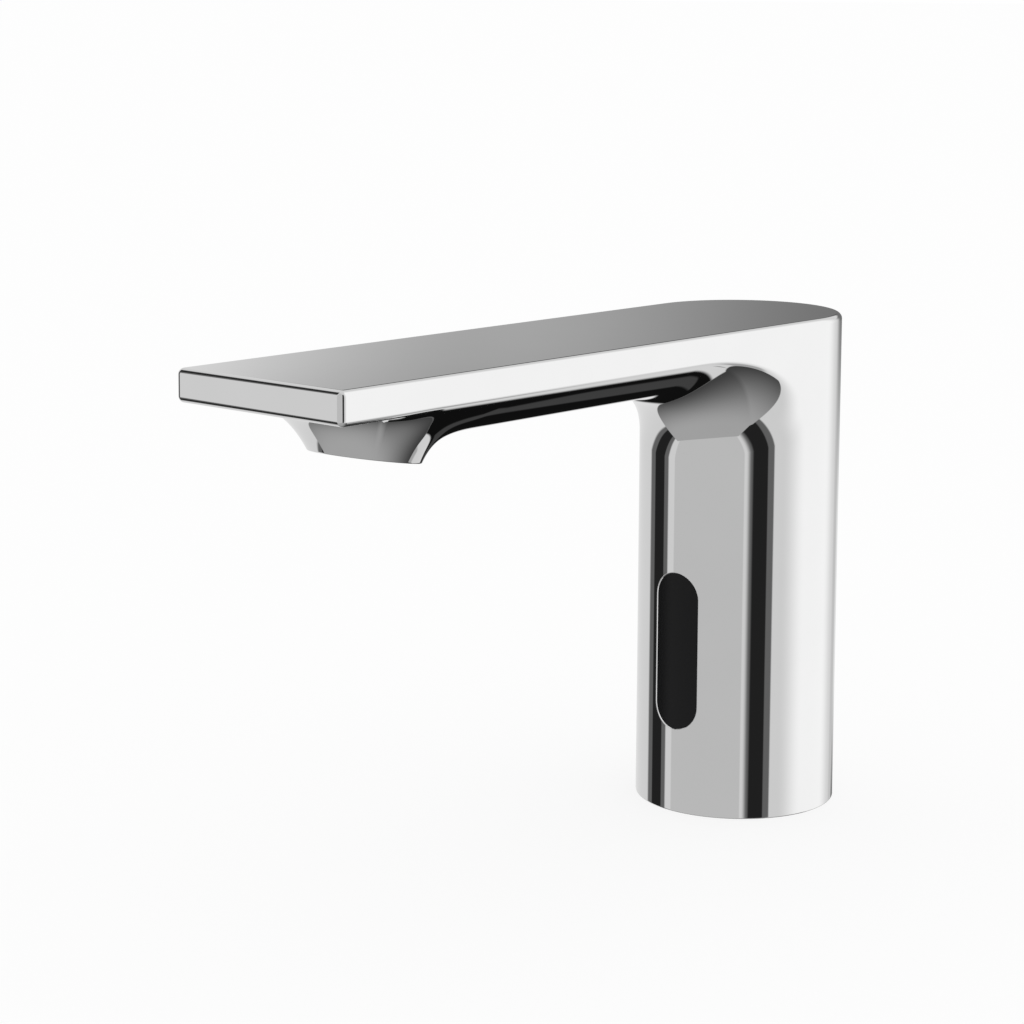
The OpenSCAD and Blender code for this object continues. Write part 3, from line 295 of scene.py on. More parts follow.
@dataclass
class SpoutBody:
    """One-piece chromed casting: round upright, flat spout, arch, belly and flared outlet.

    Angles are in degrees. The side strips take up strip_part of the edge's rounding in width. The
    flare's hold and end are its handles' lengths, as shares of its span.
    The wall's steps are those of the upright: below the screw's block, in it, up to the window's
    block, in that, up to the arch, and inside it from there to the roof of the bore.
    """

    radius: float
    top: float
    reach: float
    bore: float = 22.0
    cavity: float = 108.02
    edge: float = 1.5
    strip_part: float = 0.8
    plate: float = 7.5
    belly_depth: float = 9.5
    belly_radius: float = 35.0
    arch_foot: float = 88.9
    arch_lift: float = 6.1
    arch_reach: float = 48.7
    arch_form: float = 2.15
    arch_strip: float = 1.0
    setback: float = 31.4
    drop: float = 20.1
    tilt: float = 9.9
    rim_radius: float = 12.4
    seat_radius: float = 10.75
    seat_depth: float = 8.33
    seat_lip: float = 0.2
    throat_radius: float = 5.0
    throat_depth: float = 2.0
    flare_front: float = 29.4
    flare_back: float = 30.6
    front_angle: float = 52.18
    back_angle: float = 77.11
    front_hold: float = 0.673
    back_hold: float = 0.301
    front_end: float = 0.132
    back_end: float = 0.691
    foot_edge: float = 0.3
    rim_edge: float = 0.35
    wall_steps: tuple[int, ...] = (1, 8, 2, 40, 8, 6)

    def __post_init__(self) -> None:
        """Works out the levels and centres that the surfaces share, and their rows and columns."""
        self.core = self.radius - self.edge
        self.side = self.radius - self.edge * self.strip_part
        self.low = self.top - self.plate
        self.core_low = self.low + self.edge
        self.core_top = self.top - self.edge
        self.belly_low = self.low - self.belly_depth
        self.upright_top = self.arch_foot - self.arch_strip
        self.front_y = self.edge - self.reach
        self.outlet_y = self.setback - self.reach
        self.outlet = np.array([0.0, self.outlet_y, self.top - self.drop])
        self.lean = math.radians(self.tilt)
        self.turn_front = math.acos(self.side / self.flare_front)
        self.turn_back = math.acos(self.side / self.flare_back)
        self.side_lean = math.asin(self.side / self.belly_radius)
        middle = np.linspace(-self.side_lean, self.side_lean, 57)
        strip = np.linspace(self.side_lean, math.pi / 2, 25)
        self.middle = middle
        self.strip_share = (strip - self.side_lean) / (math.pi / 2 - self.side_lean)
        self.leans = np.concatenate([-strip[::-1], middle[1:-1], strip])
        self.across = np.linspace(-self.core, self.core, 65)
        self.wide = np.concatenate([[-self.side], self.across, [self.side]])
        self.back = np.linspace(math.pi / 2, math.pi * 1.5, len(self.across))
        self.around = np.concatenate([self.leans, self.back[1:]])
        self.arch_rows = np.radians(np.linspace(0.0, 90.0, 73))
        self.belly_rows = np.linspace(0.0, 1.0, 33)
        self.turn_rows = np.linspace(-self.turn_back, self.turn_front, 29)
        self.front_rows = np.linspace(0.0, 1.0, 9)
        self.rise_rows = np.linspace(0.0, 1.0, 13)
        self.quarter = np.linspace(0.0, math.pi / 2, 9)
        back_corner = self.outlet_y + math.sqrt(self.flare_back ** 2 - self.side ** 2)
        front_corner = self.outlet_y - math.sqrt(self.flare_front ** 2 - self.side ** 2)
        self.strip_y = np.concatenate([
            -self.arch_reach + (back_corner + self.arch_reach) * self.belly_rows,
            (self.outlet_y - self.side * np.tan(self.turn_rows))[1:],
            (front_corner + (self.front_y - front_corner) * self.front_rows)[1:]])

    def section(self, lean: np.ndarray) -> tuple[np.ndarray, np.ndarray]:
        """Section of the belly, from its middle round into the side.

        A circle's arc spans the spout. Where its normal leans far enough, the edge's rounding takes
        over, tangent to it and to the flat side.

        Args:
            lean: Lean of the normal from the middle plane, in radians.

        Returns:
            Half-width and height.
        """
        arc = self.belly_radius
        on_arc = np.abs(lean) <= math.asin(self.core / (arc - self.edge))
        centre = arc - math.sqrt((arc - self.edge) ** 2 - self.core ** 2)
        x = np.where(on_arc, arc * np.sin(lean), np.sign(lean) * self.core + self.edge * np.sin(lean))
        rise = np.where(on_arc, arc - arc * np.cos(lean), centre - self.edge * np.cos(lean))
        return x, self.belly_low + rise

    def arch(self, angle: np.ndarray, lean: np.ndarray) -> np.ndarray:
        """Arch from the upright to the belly: a quarter superellipse for each lean of the normal.

        Its height share to the power n and its share still to run, also to the power n, add up to 1.
        It rises upright from the point of the round body with that normal, and runs out level into
        the belly's point with the same normal. Sideways it eases over as the sine squared. Its foot
        lies higher towards the sides, by the sine squared of the lean.
        """
        risen, left = (np.clip(part, 0.0, 1.0) ** (2.0 / self.arch_form)
                       for part in (np.sin(angle), np.cos(angle)))
        foot_x, foot_y = self.radius * np.sin(lean), -self.radius * np.cos(lean)
        foot_z = self.arch_foot + self.arch_lift * np.sin(lean) ** 2
        end_x, end_z = self.section(lean)
        return stacked(foot_x + (end_x - foot_x) * np.sin(angle) ** 2,
                       foot_y - (self.arch_reach + foot_y) * (1.0 - left),
                       foot_z + (end_z - foot_z) * risen)

    def belly_height(self, x: np.ndarray) -> np.ndarray:
        """Height of the belly's arc at a half-width."""
        return self.belly_low + self.belly_radius - np.sqrt(self.belly_radius ** 2 - x ** 2)

    def flat_lean(self, x: np.ndarray) -> np.ndarray:
        """Lean of the flat underside's normal: 0 up to the edge's rounding, then the rounding's."""
        return np.arcsin(np.clip((np.abs(x) - self.core) / self.edge, 0.0, 1.0))

    def edge_lean(self, share: np.ndarray) -> np.ndarray:
        """Lean of the flat underside's rounding, at shares of the way from its side strip's start."""
        start = self.flat_lean(np.array(self.side))
        return start + (math.pi / 2 - start) * share

    def belly_share(self, turn: np.ndarray) -> np.ndarray:
        """Share of the belly's form beside the outlet: 1 behind it, easing to 0 at the front corner."""
        ahead = np.clip(np.arcsin(np.clip(np.sin(turn), 0.0, 1.0)) / self.turn_front, 0.0, 1.0)
        return np.cos(ahead * math.pi / 2) ** 2

    def side_strip(self, y: np.ndarray, share: np.ndarray) -> np.ndarray:
        """Strip along the spout's lower edge, mixed from the belly's and the flat underside's edges."""
        x_belly, z_belly = self.section(self.side_lean + (math.pi / 2 - self.side_lean) * share)
        lean = self.edge_lean(share)
        x_flat = self.core + self.edge * np.sin(lean)
        z_flat = self.core_low - self.edge * np.cos(lean)
        mix = self.belly_share(np.arctan((self.outlet_y - y) / self.side))
        return stacked(mix * x_belly + (1 - mix) * x_flat, y, mix * z_belly + (1 - mix) * z_flat)

    def flare_frame(self, turn: np.ndarray) -> tuple[np.ndarray, ...]:
        """Rim and foot of the flare at a turn round the outlet: 0 is across the spout, 90 its front.

        Args:
            turn: Angles round the outlet, in radians.

        Returns:
            Rim, direction up the wall, foot, direction along the foot, and the two handles' lengths.
        """
        s, c = np.sin(turn), np.cos(turn)
        ahead = (1.0 + s) / 2.0
        wall = np.radians(self.back_angle + (self.front_angle - self.back_angle) * ahead)
        rim = self.outlet + self.leaned(self.rim_radius * stacked(c, -s, 0.0))
        rise = self.leaned(stacked(np.cos(wall) * c, -np.cos(wall) * s, np.sin(wall)))
        far = np.minimum(self.side / np.maximum(np.abs(c), 1e-6),
                         np.where(s > 0, self.flare_front, self.flare_back))
        x = np.clip(far * c, -self.side, self.side)
        mix = np.where(s > 0, self.belly_share(turn), 1.0)
        flat = self.flat_lean(x)
        height = mix * self.belly_height(x) + (1 - mix) * (self.core_low - self.edge * np.cos(flat))
        slope = mix * np.abs(x) / np.sqrt(self.belly_radius ** 2 - x ** 2) + (1 - mix) * np.tan(flat)
        foot = stacked(x, self.outlet_y - far * s, height)
        out = unit(stacked(c, -s, slope * np.abs(c)))
        span = np.linalg.norm(foot - rim, axis=-1)[..., None]
        hold = (self.back_hold + (self.front_hold - self.back_hold) * ahead)[..., None] * span
        end = (self.back_end + (self.front_end - self.back_end) * ahead)[..., None] * span
        return rim, rise, foot, out, hold, end

    def flare(self, turn: np.ndarray, share: np.ndarray) -> np.ndarray:
        """Flared wall: a cubic curve from just above the rim to the foot, for each turn.

        The curve's end points are the rim and the foot, and its handles follow the wall's slope at
        the rim and the underside's slope at the foot. It starts one edge's width up the wall.
        """
        rim, rise, foot, out, hold, end = self.flare_frame(turn)
        start = self.rim_edge / (3.0 * hold)
        t = start + (1.0 - start) * share[..., None]
        return ((1 - t) ** 3 * rim + 3 * (1 - t) ** 2 * t * (rim + rise * hold)
                + 3 * (1 - t) * t ** 2 * (foot - out * end) + t ** 3 * foot)

    def rim_rounding(self, turn: np.ndarray, share: np.ndarray) -> np.ndarray:
        """Rounded outer edge of the rim: a parabola from the flare's wall to the rim's plane."""
        rim = self.flare_frame(turn)[0]
        wall = self.flare(turn, np.zeros_like(share))
        plane = rim + (self.outlet - rim) * (self.rim_edge / self.rim_radius)
        t = share[..., None]
        return (1 - t) ** 2 * wall + 2 * t * (1 - t) * rim + t ** 2 * plane

    def add_upright(self, shell: Shell, openings: list[WallOpening]) -> None:
        """Adds the upright's outside, its bore, its foot and the bore's roof."""
        window, screw = openings
        knots = [*screw.levels(), *window.levels(), self.upright_top]
        for radius, ends, lean in ((self.radius, [self.foot_edge, *knots], 0.0),
                                   (self.bore, [0.0, *knots, self.cavity], math.pi)):
            heights = self.spaced(ends)
            points, normals = turned(radius, heights, lean, self.around)
            skip = np.zeros((points.shape[0] - 1, points.shape[1] - 1), bool)
            for opening in openings:
                low, high = opening.levels()
                across = np.flatnonzero(np.abs(self.around - opening.facing) <= opening.half_angle)
                up = np.flatnonzero((heights >= low - SLACK) & (heights <= high + SLACK))
                skip[up[0]:up[-1], across[0]:across[-1]] = True
                middle, ray = self.add_frame(shell, opening, self.rim_walk(points, up, across), radius)
                if radius == self.radius:
                    self.add_reveal(shell, opening, middle, ray)
            shell.add(points, normals, skip)
        shell.add(*turned(self.radius - self.foot_edge * (1 - np.cos(self.quarter)),
                          self.foot_edge * (1 - np.sin(self.quarter)), -self.quarter, self.around))
        for radii, height in (([self.radius - self.foot_edge, self.bore], 0.0),
                              ([self.bore, 0.0], self.cavity)):
            shell.add(*turned(radii, height, -math.pi / 2, self.around))

    def spaced(self, knots: list[float]) -> np.ndarray:
        """Levels through every knot, with the wall's equal steps between two of them."""
        steps = [np.linspace(a, b, n + 1)[:-1] for a, b, n in zip(knots[:-1], knots[1:], self.wall_steps)]
        return np.concatenate([*steps, [knots[-1]]])

    @staticmethod
    def rim_walk(grid: np.ndarray, up: np.ndarray, across: np.ndarray) -> np.ndarray:
        """Points of a grid once round a block of its rows and columns."""
        low, high, left, right = up[0], up[-1], across[0], across[-1]
        return np.concatenate([grid[low, left:right], grid[low:high, right],
                               grid[high, right:left:-1], grid[high:low:-1, left],
                               grid[low:low + 1, left]])

    def add_frame(self, shell: Shell, opening: WallOpening, edge: np.ndarray,
                  radius: float) -> tuple[np.ndarray, np.ndarray]:
        """Fills a round wall between a block of its grid and an opening's outline.

        Azimuth and height run evenly from the block's edge to the outline, so every point stays on
        the wall. The outside and the bore use the same rays, so that the reveal joins them.

        Args:
            shell: The surface that the faces go to.
            opening: The opening.
            edge: Points once round the block.
            radius: The wall's radius.

        Returns:
            Middle heights and rays of the opening's outline.
        """
        turn = opening.turn(edge, radius)
        middle, ray = opening.rays(self.radius * np.sin(turn), edge[:, 2])
        lip = opening.lip if radius == self.radius else 0.0
        line = opening.place(middle, ray, lip, radius)
        share = np.linspace(0.0, 1.0, 7)[:, None]
        azimuth = opening.facing + turn * (1 - share) + opening.turn(line, radius) * share
        out = round_out(azimuth)
        grid = radius * out
        grid[..., 2] = edge[:, 2] * (1 - share) + line[:, 2] * share
        shell.add(grid, out if radius == self.radius else -out)
        return middle, ray

    def add_reveal(self, shell: Shell, opening: WallOpening, middle: np.ndarray, ray: np.ndarray) -> None:
        """Adds an opening's rounded lip and its wall through to the bore."""
        outward = opening.direction(ray)
        bend = self.quarter[:, None]
        points = opening.place(middle, ray, opening.lip * (1 - np.sin(bend)),
                               self.radius - opening.lip * (1 - np.cos(bend)))
        turn = bend[..., None]
        shell.add(points, unit(np.cos(turn) * unit(points * LEVEL) - np.sin(turn) * outward))
        inner = opening.place(middle, ray, 0.0, self.bore)
        shell.add(np.stack([points[-1], inner]), -outward)

    def add_arch(self, shell: Shell) -> None:
        """Adds the arch between the upright and the belly."""
        angle, lean = np.meshgrid(self.arch_rows, self.leans, indexing="ij")
        outward = stacked(np.sin(lean), -np.cos(lean) * np.cos(angle), -np.cos(lean) * np.sin(angle))
        shell.add(self.arch(angle, lean), normals_of(self.arch, angle, lean, outward))
        foot = self.arch(np.zeros_like(self.leans), self.leans)
        out = round_out(self.leans)
        shell.add(np.stack([self.radius * out + self.upright_top * UP, foot]), out)

    def add_underside(self, shell: Shell) -> None:
        """Adds the belly, the strips along the lower edges and the flat in front of the outlet."""
        x = self.belly_radius * np.sin(self.middle)
        behind = self.outlet_y + np.sqrt(self.flare_back ** 2 - x ** 2)
        y = -self.arch_reach + (behind + self.arch_reach) * self.belly_rows[:, None]
        down = stacked(np.sin(self.middle), 0.0, -np.cos(self.middle))
        shell.add(stacked(x, y, self.belly_height(x)), down)
        y, share = np.meshgrid(self.strip_y, self.strip_share, indexing="ij")
        lean = share * math.pi / 2
        outward = stacked(np.sin(lean), 0.0, -np.cos(lean))
        self.add_both_sides(shell, self.side_strip(y, share),
                            normals_of(self.side_strip, y, share, outward))
        x = self.wide
        ahead = self.outlet_y - np.sqrt(self.flare_front ** 2 - x ** 2)
        y = ahead + (self.front_y - ahead) * self.front_rows[:, None]
        lean = self.flat_lean(x) * np.sign(x)
        down = stacked(np.sin(lean), 0.0, -np.cos(lean))
        shell.add(stacked(x, y, self.core_low - self.edge * np.cos(lean)), down)

    @staticmethod
    def add_both_sides(shell: Shell, points: np.ndarray, normals: np.ndarray) -> None:
        """Adds a grid of the +X side and its mirror image on the -X side."""
        mirror = np.array([-1.0, 1.0, 1.0])
        shell.add(points, normals)
        shell.add(points * mirror, normals * mirror)

    def add_sides(self, shell: Shell) -> None:
        """Adds the flat sides, the upright's back above the arch's foot, and the rounded top edge."""
        arch_edge = self.arch(self.arch_rows, np.full_like(self.arch_rows, math.pi / 2))
        strip_edge = self.side_strip(self.strip_y, np.ones_like(self.strip_y))
        lower = np.concatenate([arch_edge, strip_edge[1:]])
        y, z = lower[:, 1], lower[:, 2]
        points = stacked(self.radius, y, z + (self.core_top - z) * self.rise_rows[:, None])
        self.add_both_sides(shell, points, np.array([1.0, 0.0, 0.0]))
        heights = np.concatenate([[self.upright_top], z[0] + (self.core_top - z[0]) * self.rise_rows])
        shell.add(*turned(self.radius, heights, 0.0, self.back))
        bend = self.quarter
        shell.add(*turned(self.core + self.edge * np.cos(bend), self.core_top + self.edge * np.sin(bend),
                          bend, self.back))
        out = stacked(np.cos(bend), 0.0, np.sin(bend))[:, None]
        self.add_both_sides(shell, stacked(self.core, y, self.core_top) + self.edge * out, out)
        self.add_top(shell, y)

    def add_top(self, shell: Shell, rows: np.ndarray) -> None:
        """Adds the flat top: a grid over the spout, and a half disc ruled to the round back."""
        x, y = np.meshgrid(self.across, rows, indexing="ij")
        shell.add(stacked(x, y, self.top), UP)
        share = np.linspace(0.0, 1.0, 17)[:, None]
        x = self.across * (1 - share) + self.core * np.sin(self.back)[::-1] * share
        shell.add(stacked(x, -self.core * np.cos(self.back)[::-1] * share, self.top), UP)

    def add_front(self, shell: Shell) -> None:
        """Adds the front face with its roundings.

        The spout's section is a core line with a normal at each point. The rounding turns every
        normal from the section's plane to -Y, and the face fills the core line's rectangle.
        """
        heights = self.core_low + (self.core_top - self.core_low) * self.rise_rows
        corner = np.concatenate([[0.0], self.edge_lean(self.strip_share)])
        parts = [(self.across, self.core_low, 0.0),
                 (self.core, self.core_low, corner),
                 (self.core, heights, math.pi / 2),
                 (self.core, self.core_top, math.pi / 2 + self.quarter),
                 (self.across[::-1], self.core_top, math.pi)]
        mirrored = [(-x, z, -lean) for x, z, lean in parts[1:4]]
        bend = self.quarter[:, None]
        for x, z, lean in parts + mirrored:
            out = stacked(np.sin(lean) * np.cos(bend), -np.sin(bend), -np.cos(lean) * np.cos(bend))
            shell.add(stacked(x, self.front_y, z) + self.edge * out, out)
        x, z = np.meshgrid(self.across, heights, indexing="ij")
        shell.add(stacked(x, -self.reach, z), FRONT)

    def add_outlet(self, shell: Shell) -> None:
        """Adds the flare, its rim, the aerator's seat and the throat behind it."""
        back = -np.arccos(np.clip(self.belly_radius * np.sin(self.middle) / self.flare_back, -1, 1))
        front = np.arccos(np.clip(self.wide / self.flare_front, -1, 1))[::-1]
        turns = [back, self.turn_rows, front, math.pi - self.turn_rows[::-1]]
        rows = np.linspace(0.0, 1.0, 33)
        edge_rows = np.linspace(0.0, 1.0, 7)
        for turn in turns:
            for surface, shares in ((self.flare, rows), (self.rim_rounding, edge_rows)):
                t, v = np.meshgrid(turn, shares, indexing="ij")
                outward = stacked(np.cos(t), -np.sin(t), -1.0)
                shell.add(surface(t, v), normals_of(surface, t, v, outward))
            self.add_seat(shell, math.pi / 2 - turn)

    def add_seat(self, shell: Shell, azimuth: np.ndarray) -> None:
        """Adds the rim's face, its rounded inner edge, the seat and the throat, in the outlet's lean."""
        lip, seat, throat, depth = self.seat_lip, self.seat_radius, self.throat_radius, self.seat_depth
        ring, end = seat + lip, depth + self.throat_depth
        bend = self.quarter
        inward, down = math.pi, -math.pi / 2
        bands = [([self.rim_radius - self.rim_edge, ring], 0.0, down),
                 (ring - lip * np.sin(bend), lip - lip * np.cos(bend), inward - down - bend),
                 (seat, [lip, depth], inward),
                 ([seat, throat], depth, down),
                 (throat, [depth, end], inward),
                 ([throat, 0.0], end, down)]
        for radii, heights, lean in bands:
            points, normals = turned(radii, heights, lean, azimuth)
            shell.add(self.leaned(points) + self.outlet, self.leaned(normals))

    def leaned(self, vectors: np.ndarray) -> np.ndarray:
        """Turns vectors about X by the outlet's lean, so that its front edge rises."""
        c, s = math.cos(self.lean), math.sin(self.lean)
        x, y, z = vectors[..., 0], vectors[..., 1], vectors[..., 2]
        return stacked(x, y * c + z * s, -y * s + z * c)

    def build(self, openings: list[WallOpening]) -> bpy.types.Object:
        """Builds the whole body as one closed piece."""
        shell = Shell()
        self.add_upright(shell, openings)
        self.add_arch(shell)
        self.add_underside(shell)
        self.add_sides(shell)
        self.add_front(shell)
        self.add_outlet(shell)
        return shell.piece("chromed_body")


@dataclass
class SensorWindow:
    """Black plug that fills the window's opening, with its flange behind the wall.

    Its rings have one point on each ray through the even turns of an ellipse, and sweep is that
    ellipse's half axes.
    """

    opening: WallOpening
    bore: float
    face: float
    back: float
    flange: float = 1.6
    gasket: float = 0.6
    gap: float = 0.1
    edge: float = 0.2
    steps: int = 192
    sweep: tuple[float, float] = (20.0, 40.0)

    def build(self) -> bpy.types.Object:
        """Builds the plug as rings, from the middle of its face to the middle of its back."""
        turn = np.linspace(0.0, 2.0 * math.pi, self.steps + 1)
        place, full = self.opening.place, -self.opening.half_width
        middle, ray = self.opening.rays(np.sin(turn) * self.sweep[0],
                                        self.opening.z + np.cos(turn) * self.sweep[1])
        out = self.opening.direction(ray)
        share = np.linspace(0.0, 1.0, 9)[:, None]
        bend = np.linspace(0.0, math.pi / 2, 7)[:, None]
        shell = Shell()
        face = place(middle, ray, full + (-self.gap - self.edge - full) * share, self.face)
        shell.add(face, unit(face * LEVEL))
        lip = place(middle, ray, -self.gap - self.edge * (1 - np.sin(bend)),
                    self.face - self.edge * (1 - np.cos(bend)))
        tilt = bend[..., None]
        shell.add(lip, np.cos(tilt) * unit(lip * LEVEL) + np.sin(tilt) * out)
        flange_face = self.bore - self.gasket
        neck = place(middle, ray, -self.gap, flange_face)
        wide = place(middle, ray, self.flange, flange_face)
        heel = place(middle, ray, self.flange, self.back, flat=True)
        centre = place(middle, ray, full, self.back, flat=True)
        for first, second, normals in ((lip[-1], neck, out), (neck, wide, FRONT), (wide, heel, out),
                                       (heel, centre, -FRONT)):
            shell.add(np.stack([first, second]), normals)
        return shell.piece("window_glass")


def linear(colour: str) -> tuple[float, float, float, float]:
    """Turns an sRGB hex colour into linear light.

    A channel below 0.04045 is divided by 12.92; above it, it is ((c + 0.055) / 1.055) to the power 2.4.
    """
    channels = [int(colour[i:i + 2], 16) / 255.0 for i in (1, 3, 5)]
    return (*(c / 12.92 if c <= 0.04045 else ((c + 0.055) / 1.055) ** 2.4 for c in channels), 1.0)


def add_node(tree: bpy.types.NodeTree, kind: str, values: dict | None = None,
             links: dict | None = None, **settings) -> bpy.types.Node:
    """Adds a node, sets it up and links it.

    Args:
        tree: The node tree.
        kind: The node's type, without ShaderNode before it.
        values: Input name or number to its value.
        links: Input name or number to the output socket that feeds it.
        **settings: Properties of the node.

    Returns:
        The new node.
    """
    node = tree.nodes.new("ShaderNode" + kind)
    for name, value in settings.items():
        setattr(node, name, value)
    for name, value in (values or {}).items():
        node.inputs[name].default_value = value
    for name, socket in (links or {}).items():
        tree.links.new(socket, node.inputs[name])
    return node


def empty_tree(owner: bpy.types.Material | bpy.types.World) -> bpy.types.NodeTree:
    """Turns a material's or world's nodes on, and clears them."""
    owner.use_nodes = True
    owner.node_tree.nodes.clear()
    return owner.node_tree


class Grain(Enum):
    """How a surface was made, which gives the pattern of its light."""

    POLISHED = "polished"
    TURNED = "turned"
    BRUSHED = "brushed"
    WOUND = "wound"
    MOULDED = "moulded"
    ETCHED = "etched"


@dataclass(frozen=True)
class Finish:
    """One real finish: its colours, its gloss and the grain that it was made with."""

    name: str
    colour: str
    shade: str
    roughness: float
    spread: float
    grain: Grain
    grain_mm: float
    depth_mm: float
    metallic: float = 0.0
    ior: float = 1.5
    transmission: float = 0.0
    coat: float = 0.0

    def pattern(self, tree: bpy.types.NodeTree) -> bpy.types.NodeSocket:
        """Adds the grain's pattern on Object coordinates and returns its strength."""
        place = add_node(tree, "TexCoord").outputs["Object"]
        per_metre = 1.0 / (self.grain_mm * MM)
        # A wave texture turns through 20 radians in each unit of its scale
        wave_scale = per_metre * 2.0 * math.pi / 20.0
        if self.grain in (Grain.TURNED, Grain.WOUND):
            rings = self.grain is Grain.TURNED
            return add_node(tree, "TexWave",
                            {"Scale": wave_scale, "Distortion": 0.4 if rings else 0.0}, {"Vector": place},
                            wave_type="RINGS" if rings else "BANDS", rings_direction="Z",
                            bands_direction="Z").outputs["Fac"]
        if self.grain is Grain.ETCHED:
            return add_node(tree, "TexVoronoi", {"Scale": per_metre}, {"Vector": place},
                            distance="CHEBYCHEV", feature="F1").outputs["Distance"]
        stretch = (1.0, 1.0, 0.04) if self.grain is Grain.BRUSHED else (1.0, 1.0, 1.0)
        mapped = add_node(tree, "Mapping", {"Scale": stretch}, {"Vector": place}).outputs["Vector"]
        return add_node(tree, "TexNoise", {"Scale": per_metre, "Detail": 4.0, "Roughness": 0.55},
                        {"Vector": mapped}).outputs["Fac"]

    @cache
    def material(self) -> bpy.types.Material:
        """Builds the material once: the grain moves roughness, colour and bump."""
        material = bpy.data.materials.new(self.name)
        tree = empty_tree(material)
        grain = self.pattern(tree)
        rough = add_node(tree, "MapRange", {"To Min": max(self.roughness - self.spread, 0.0),
                                            "To Max": self.roughness + self.spread}, {"Value": grain})
        colour = add_node(tree, "Mix", {6: linear(self.colour), 7: linear(self.shade)}, {0: grain},
                          data_type="RGBA")
        bump = add_node(tree, "Bump", {"Strength": 1.0, "Distance": self.depth_mm * MM},
                        {"Height": grain})
        values = {"Metallic": self.metallic, "Transmission Weight": self.transmission,
                  "Coat Weight": self.coat}
        if not self.metallic:
            values["IOR"] = self.ior
        surface = add_node(tree, "BsdfPrincipled", values,
                           {"Base Color": colour.outputs[2], "Roughness": rough.outputs[0],
                            "Normal": bump.outputs[0]})
        add_node(tree, "OutputMaterial", links={"Surface": surface.outputs[0]})
        return material


CHROME = Finish("bright_chrome_plate", "#DBDBDB", "#D7D7D7", 0.025, 0.01, Grain.POLISHED, 18.0, 0.0002,
                metallic=1.0)
# Smoked acrylic with an anti-glare face, so that it mirrors little
WINDOW_BLACK = Finish("black_acrylic", "#151516", "#171718", 0.3, 0.02, Grain.POLISHED, 12.0, 0.0, ior=1.25)
# Each finish with the CAD nodes that show it
FINISHES = (
    (CHROME, ["aerator_housing"]),
    (Finish("black_epdm_rubber", "#1A1A1B", "#232324", 0.72, 0.08, Grain.MOULDED, 0.6, 0.02, ior=1.52),
     ["window_gasket", "base_gasket", "inlet_o_ring", "riser_o_rings", "diaphragm", "plunger_seal",
      "aerator_washer"]),
    (Finish("moulded_dark_abs", "#242527", "#2B2C2E", 0.46, 0.06, Grain.MOULDED, 0.5, 0.012, ior=1.54),
     ["sensor_housing", "carrier", "battery_lid"]),
    (Finish("green_circuit_board", "#1C5637", "#2B7A50", 0.34, 0.05, Grain.ETCHED, 2.2, 0.02),
     ["sensor_board"]),
    (Finish("clear_epoxy_lens", "#DDE6F2", "#D3DDEB", 0.06, 0.02, Grain.POLISHED, 3.0, 0.0, ior=1.55,
            transmission=0.6), ["ir_emitter", "ir_receiver"]),
    (Finish("turned_brass", "#C9A45C", "#B98F49", 0.24, 0.06, Grain.TURNED, 0.35, 0.006, metallic=1.0),
     ["base_plate", "inlet_connector"]),
    (Finish("brushed_stainless_steel", "#BDBBB6", "#A9A7A2", 0.28, 0.08, Grain.BRUSHED, 0.4, 0.004,
            metallic=1.0),
     ["set_screw", "inlet_strainer", "check_valve_spring", "plunger_spring", "bonnet_screws",
      "foot_screws", "core_tube", "core_clip", "battery_contacts", "aerator_screen"]),
    (Finish("ground_soft_iron", "#9C9C9E", "#86878A", 0.34, 0.08, Grain.BRUSHED, 0.5, 0.004, metallic=1.0),
     ["plunger", "fixed_core"]),
    (Finish("zinc_plated_steel", "#AEB2B4", "#9A9FA2", 0.36, 0.1, Grain.MOULDED, 1.8, 0.003, metallic=1.0),
     ["coil_bracket"]),
    (Finish("sintered_ferrite", "#2B2A2B", "#353435", 0.62, 0.08, Grain.MOULDED, 0.5, 0.01, ior=1.9),
     ["latch_magnet"]),
    (Finish("moulded_white_acetal", "#E7E5DE", "#DDDBD3", 0.36, 0.05, Grain.MOULDED, 0.8, 0.008, ior=1.48),
     ["check_valve_housing", "coil_bobbin", "coil_connector", "battery_box", "riser_tube"]),
    (Finish("moulded_grey_acetal", "#8B8E92", "#7E8185", 0.4, 0.05, Grain.MOULDED, 0.8, 0.008, ior=1.48),
     ["valve_body", "valve_bonnet"]),
    (Finish("moulded_orange_acetal", "#D9762B", "#CE6C24", 0.38, 0.05, Grain.MOULDED, 0.8, 0.008,
            ior=1.48), ["check_valve_poppet"]),
    (Finish("moulded_ivory_polypropylene", "#D8CFB2", "#CDC4A6", 0.42, 0.05, Grain.MOULDED, 0.8, 0.01,
            ior=1.49), ["diaphragm_disc"]),
    (Finish("moulded_pale_grey_acetal", "#B9BCBE", "#AEB1B4", 0.35, 0.05, Grain.MOULDED, 0.8, 0.008,
            ior=1.48), ["jet_former"]),
    (Finish("moulded_green_rubber", "#3E7F56", "#37744D", 0.55, 0.06, Grain.MOULDED, 0.6, 0.01),
     ["flow_regulator"]),
    (Finish("enamelled_copper_wire", "#B4622F", "#7A3A18", 0.26, 0.05, Grain.WOUND, 0.4, 0.08,
            metallic=0.9), ["coil_winding"]),
    (Finish("battery_sleeve_film", "#33363C", "#3B3F46", 0.3, 0.04, Grain.BRUSHED, 3.0, 0.002, coat=0.3),
     ["battery"]),
    (Finish("red_pvc_lead", "#B3221E", "#A51D1A", 0.42, 0.05, Grain.MOULDED, 0.6, 0.006, ior=1.54),
     ["battery_lead"]),
)


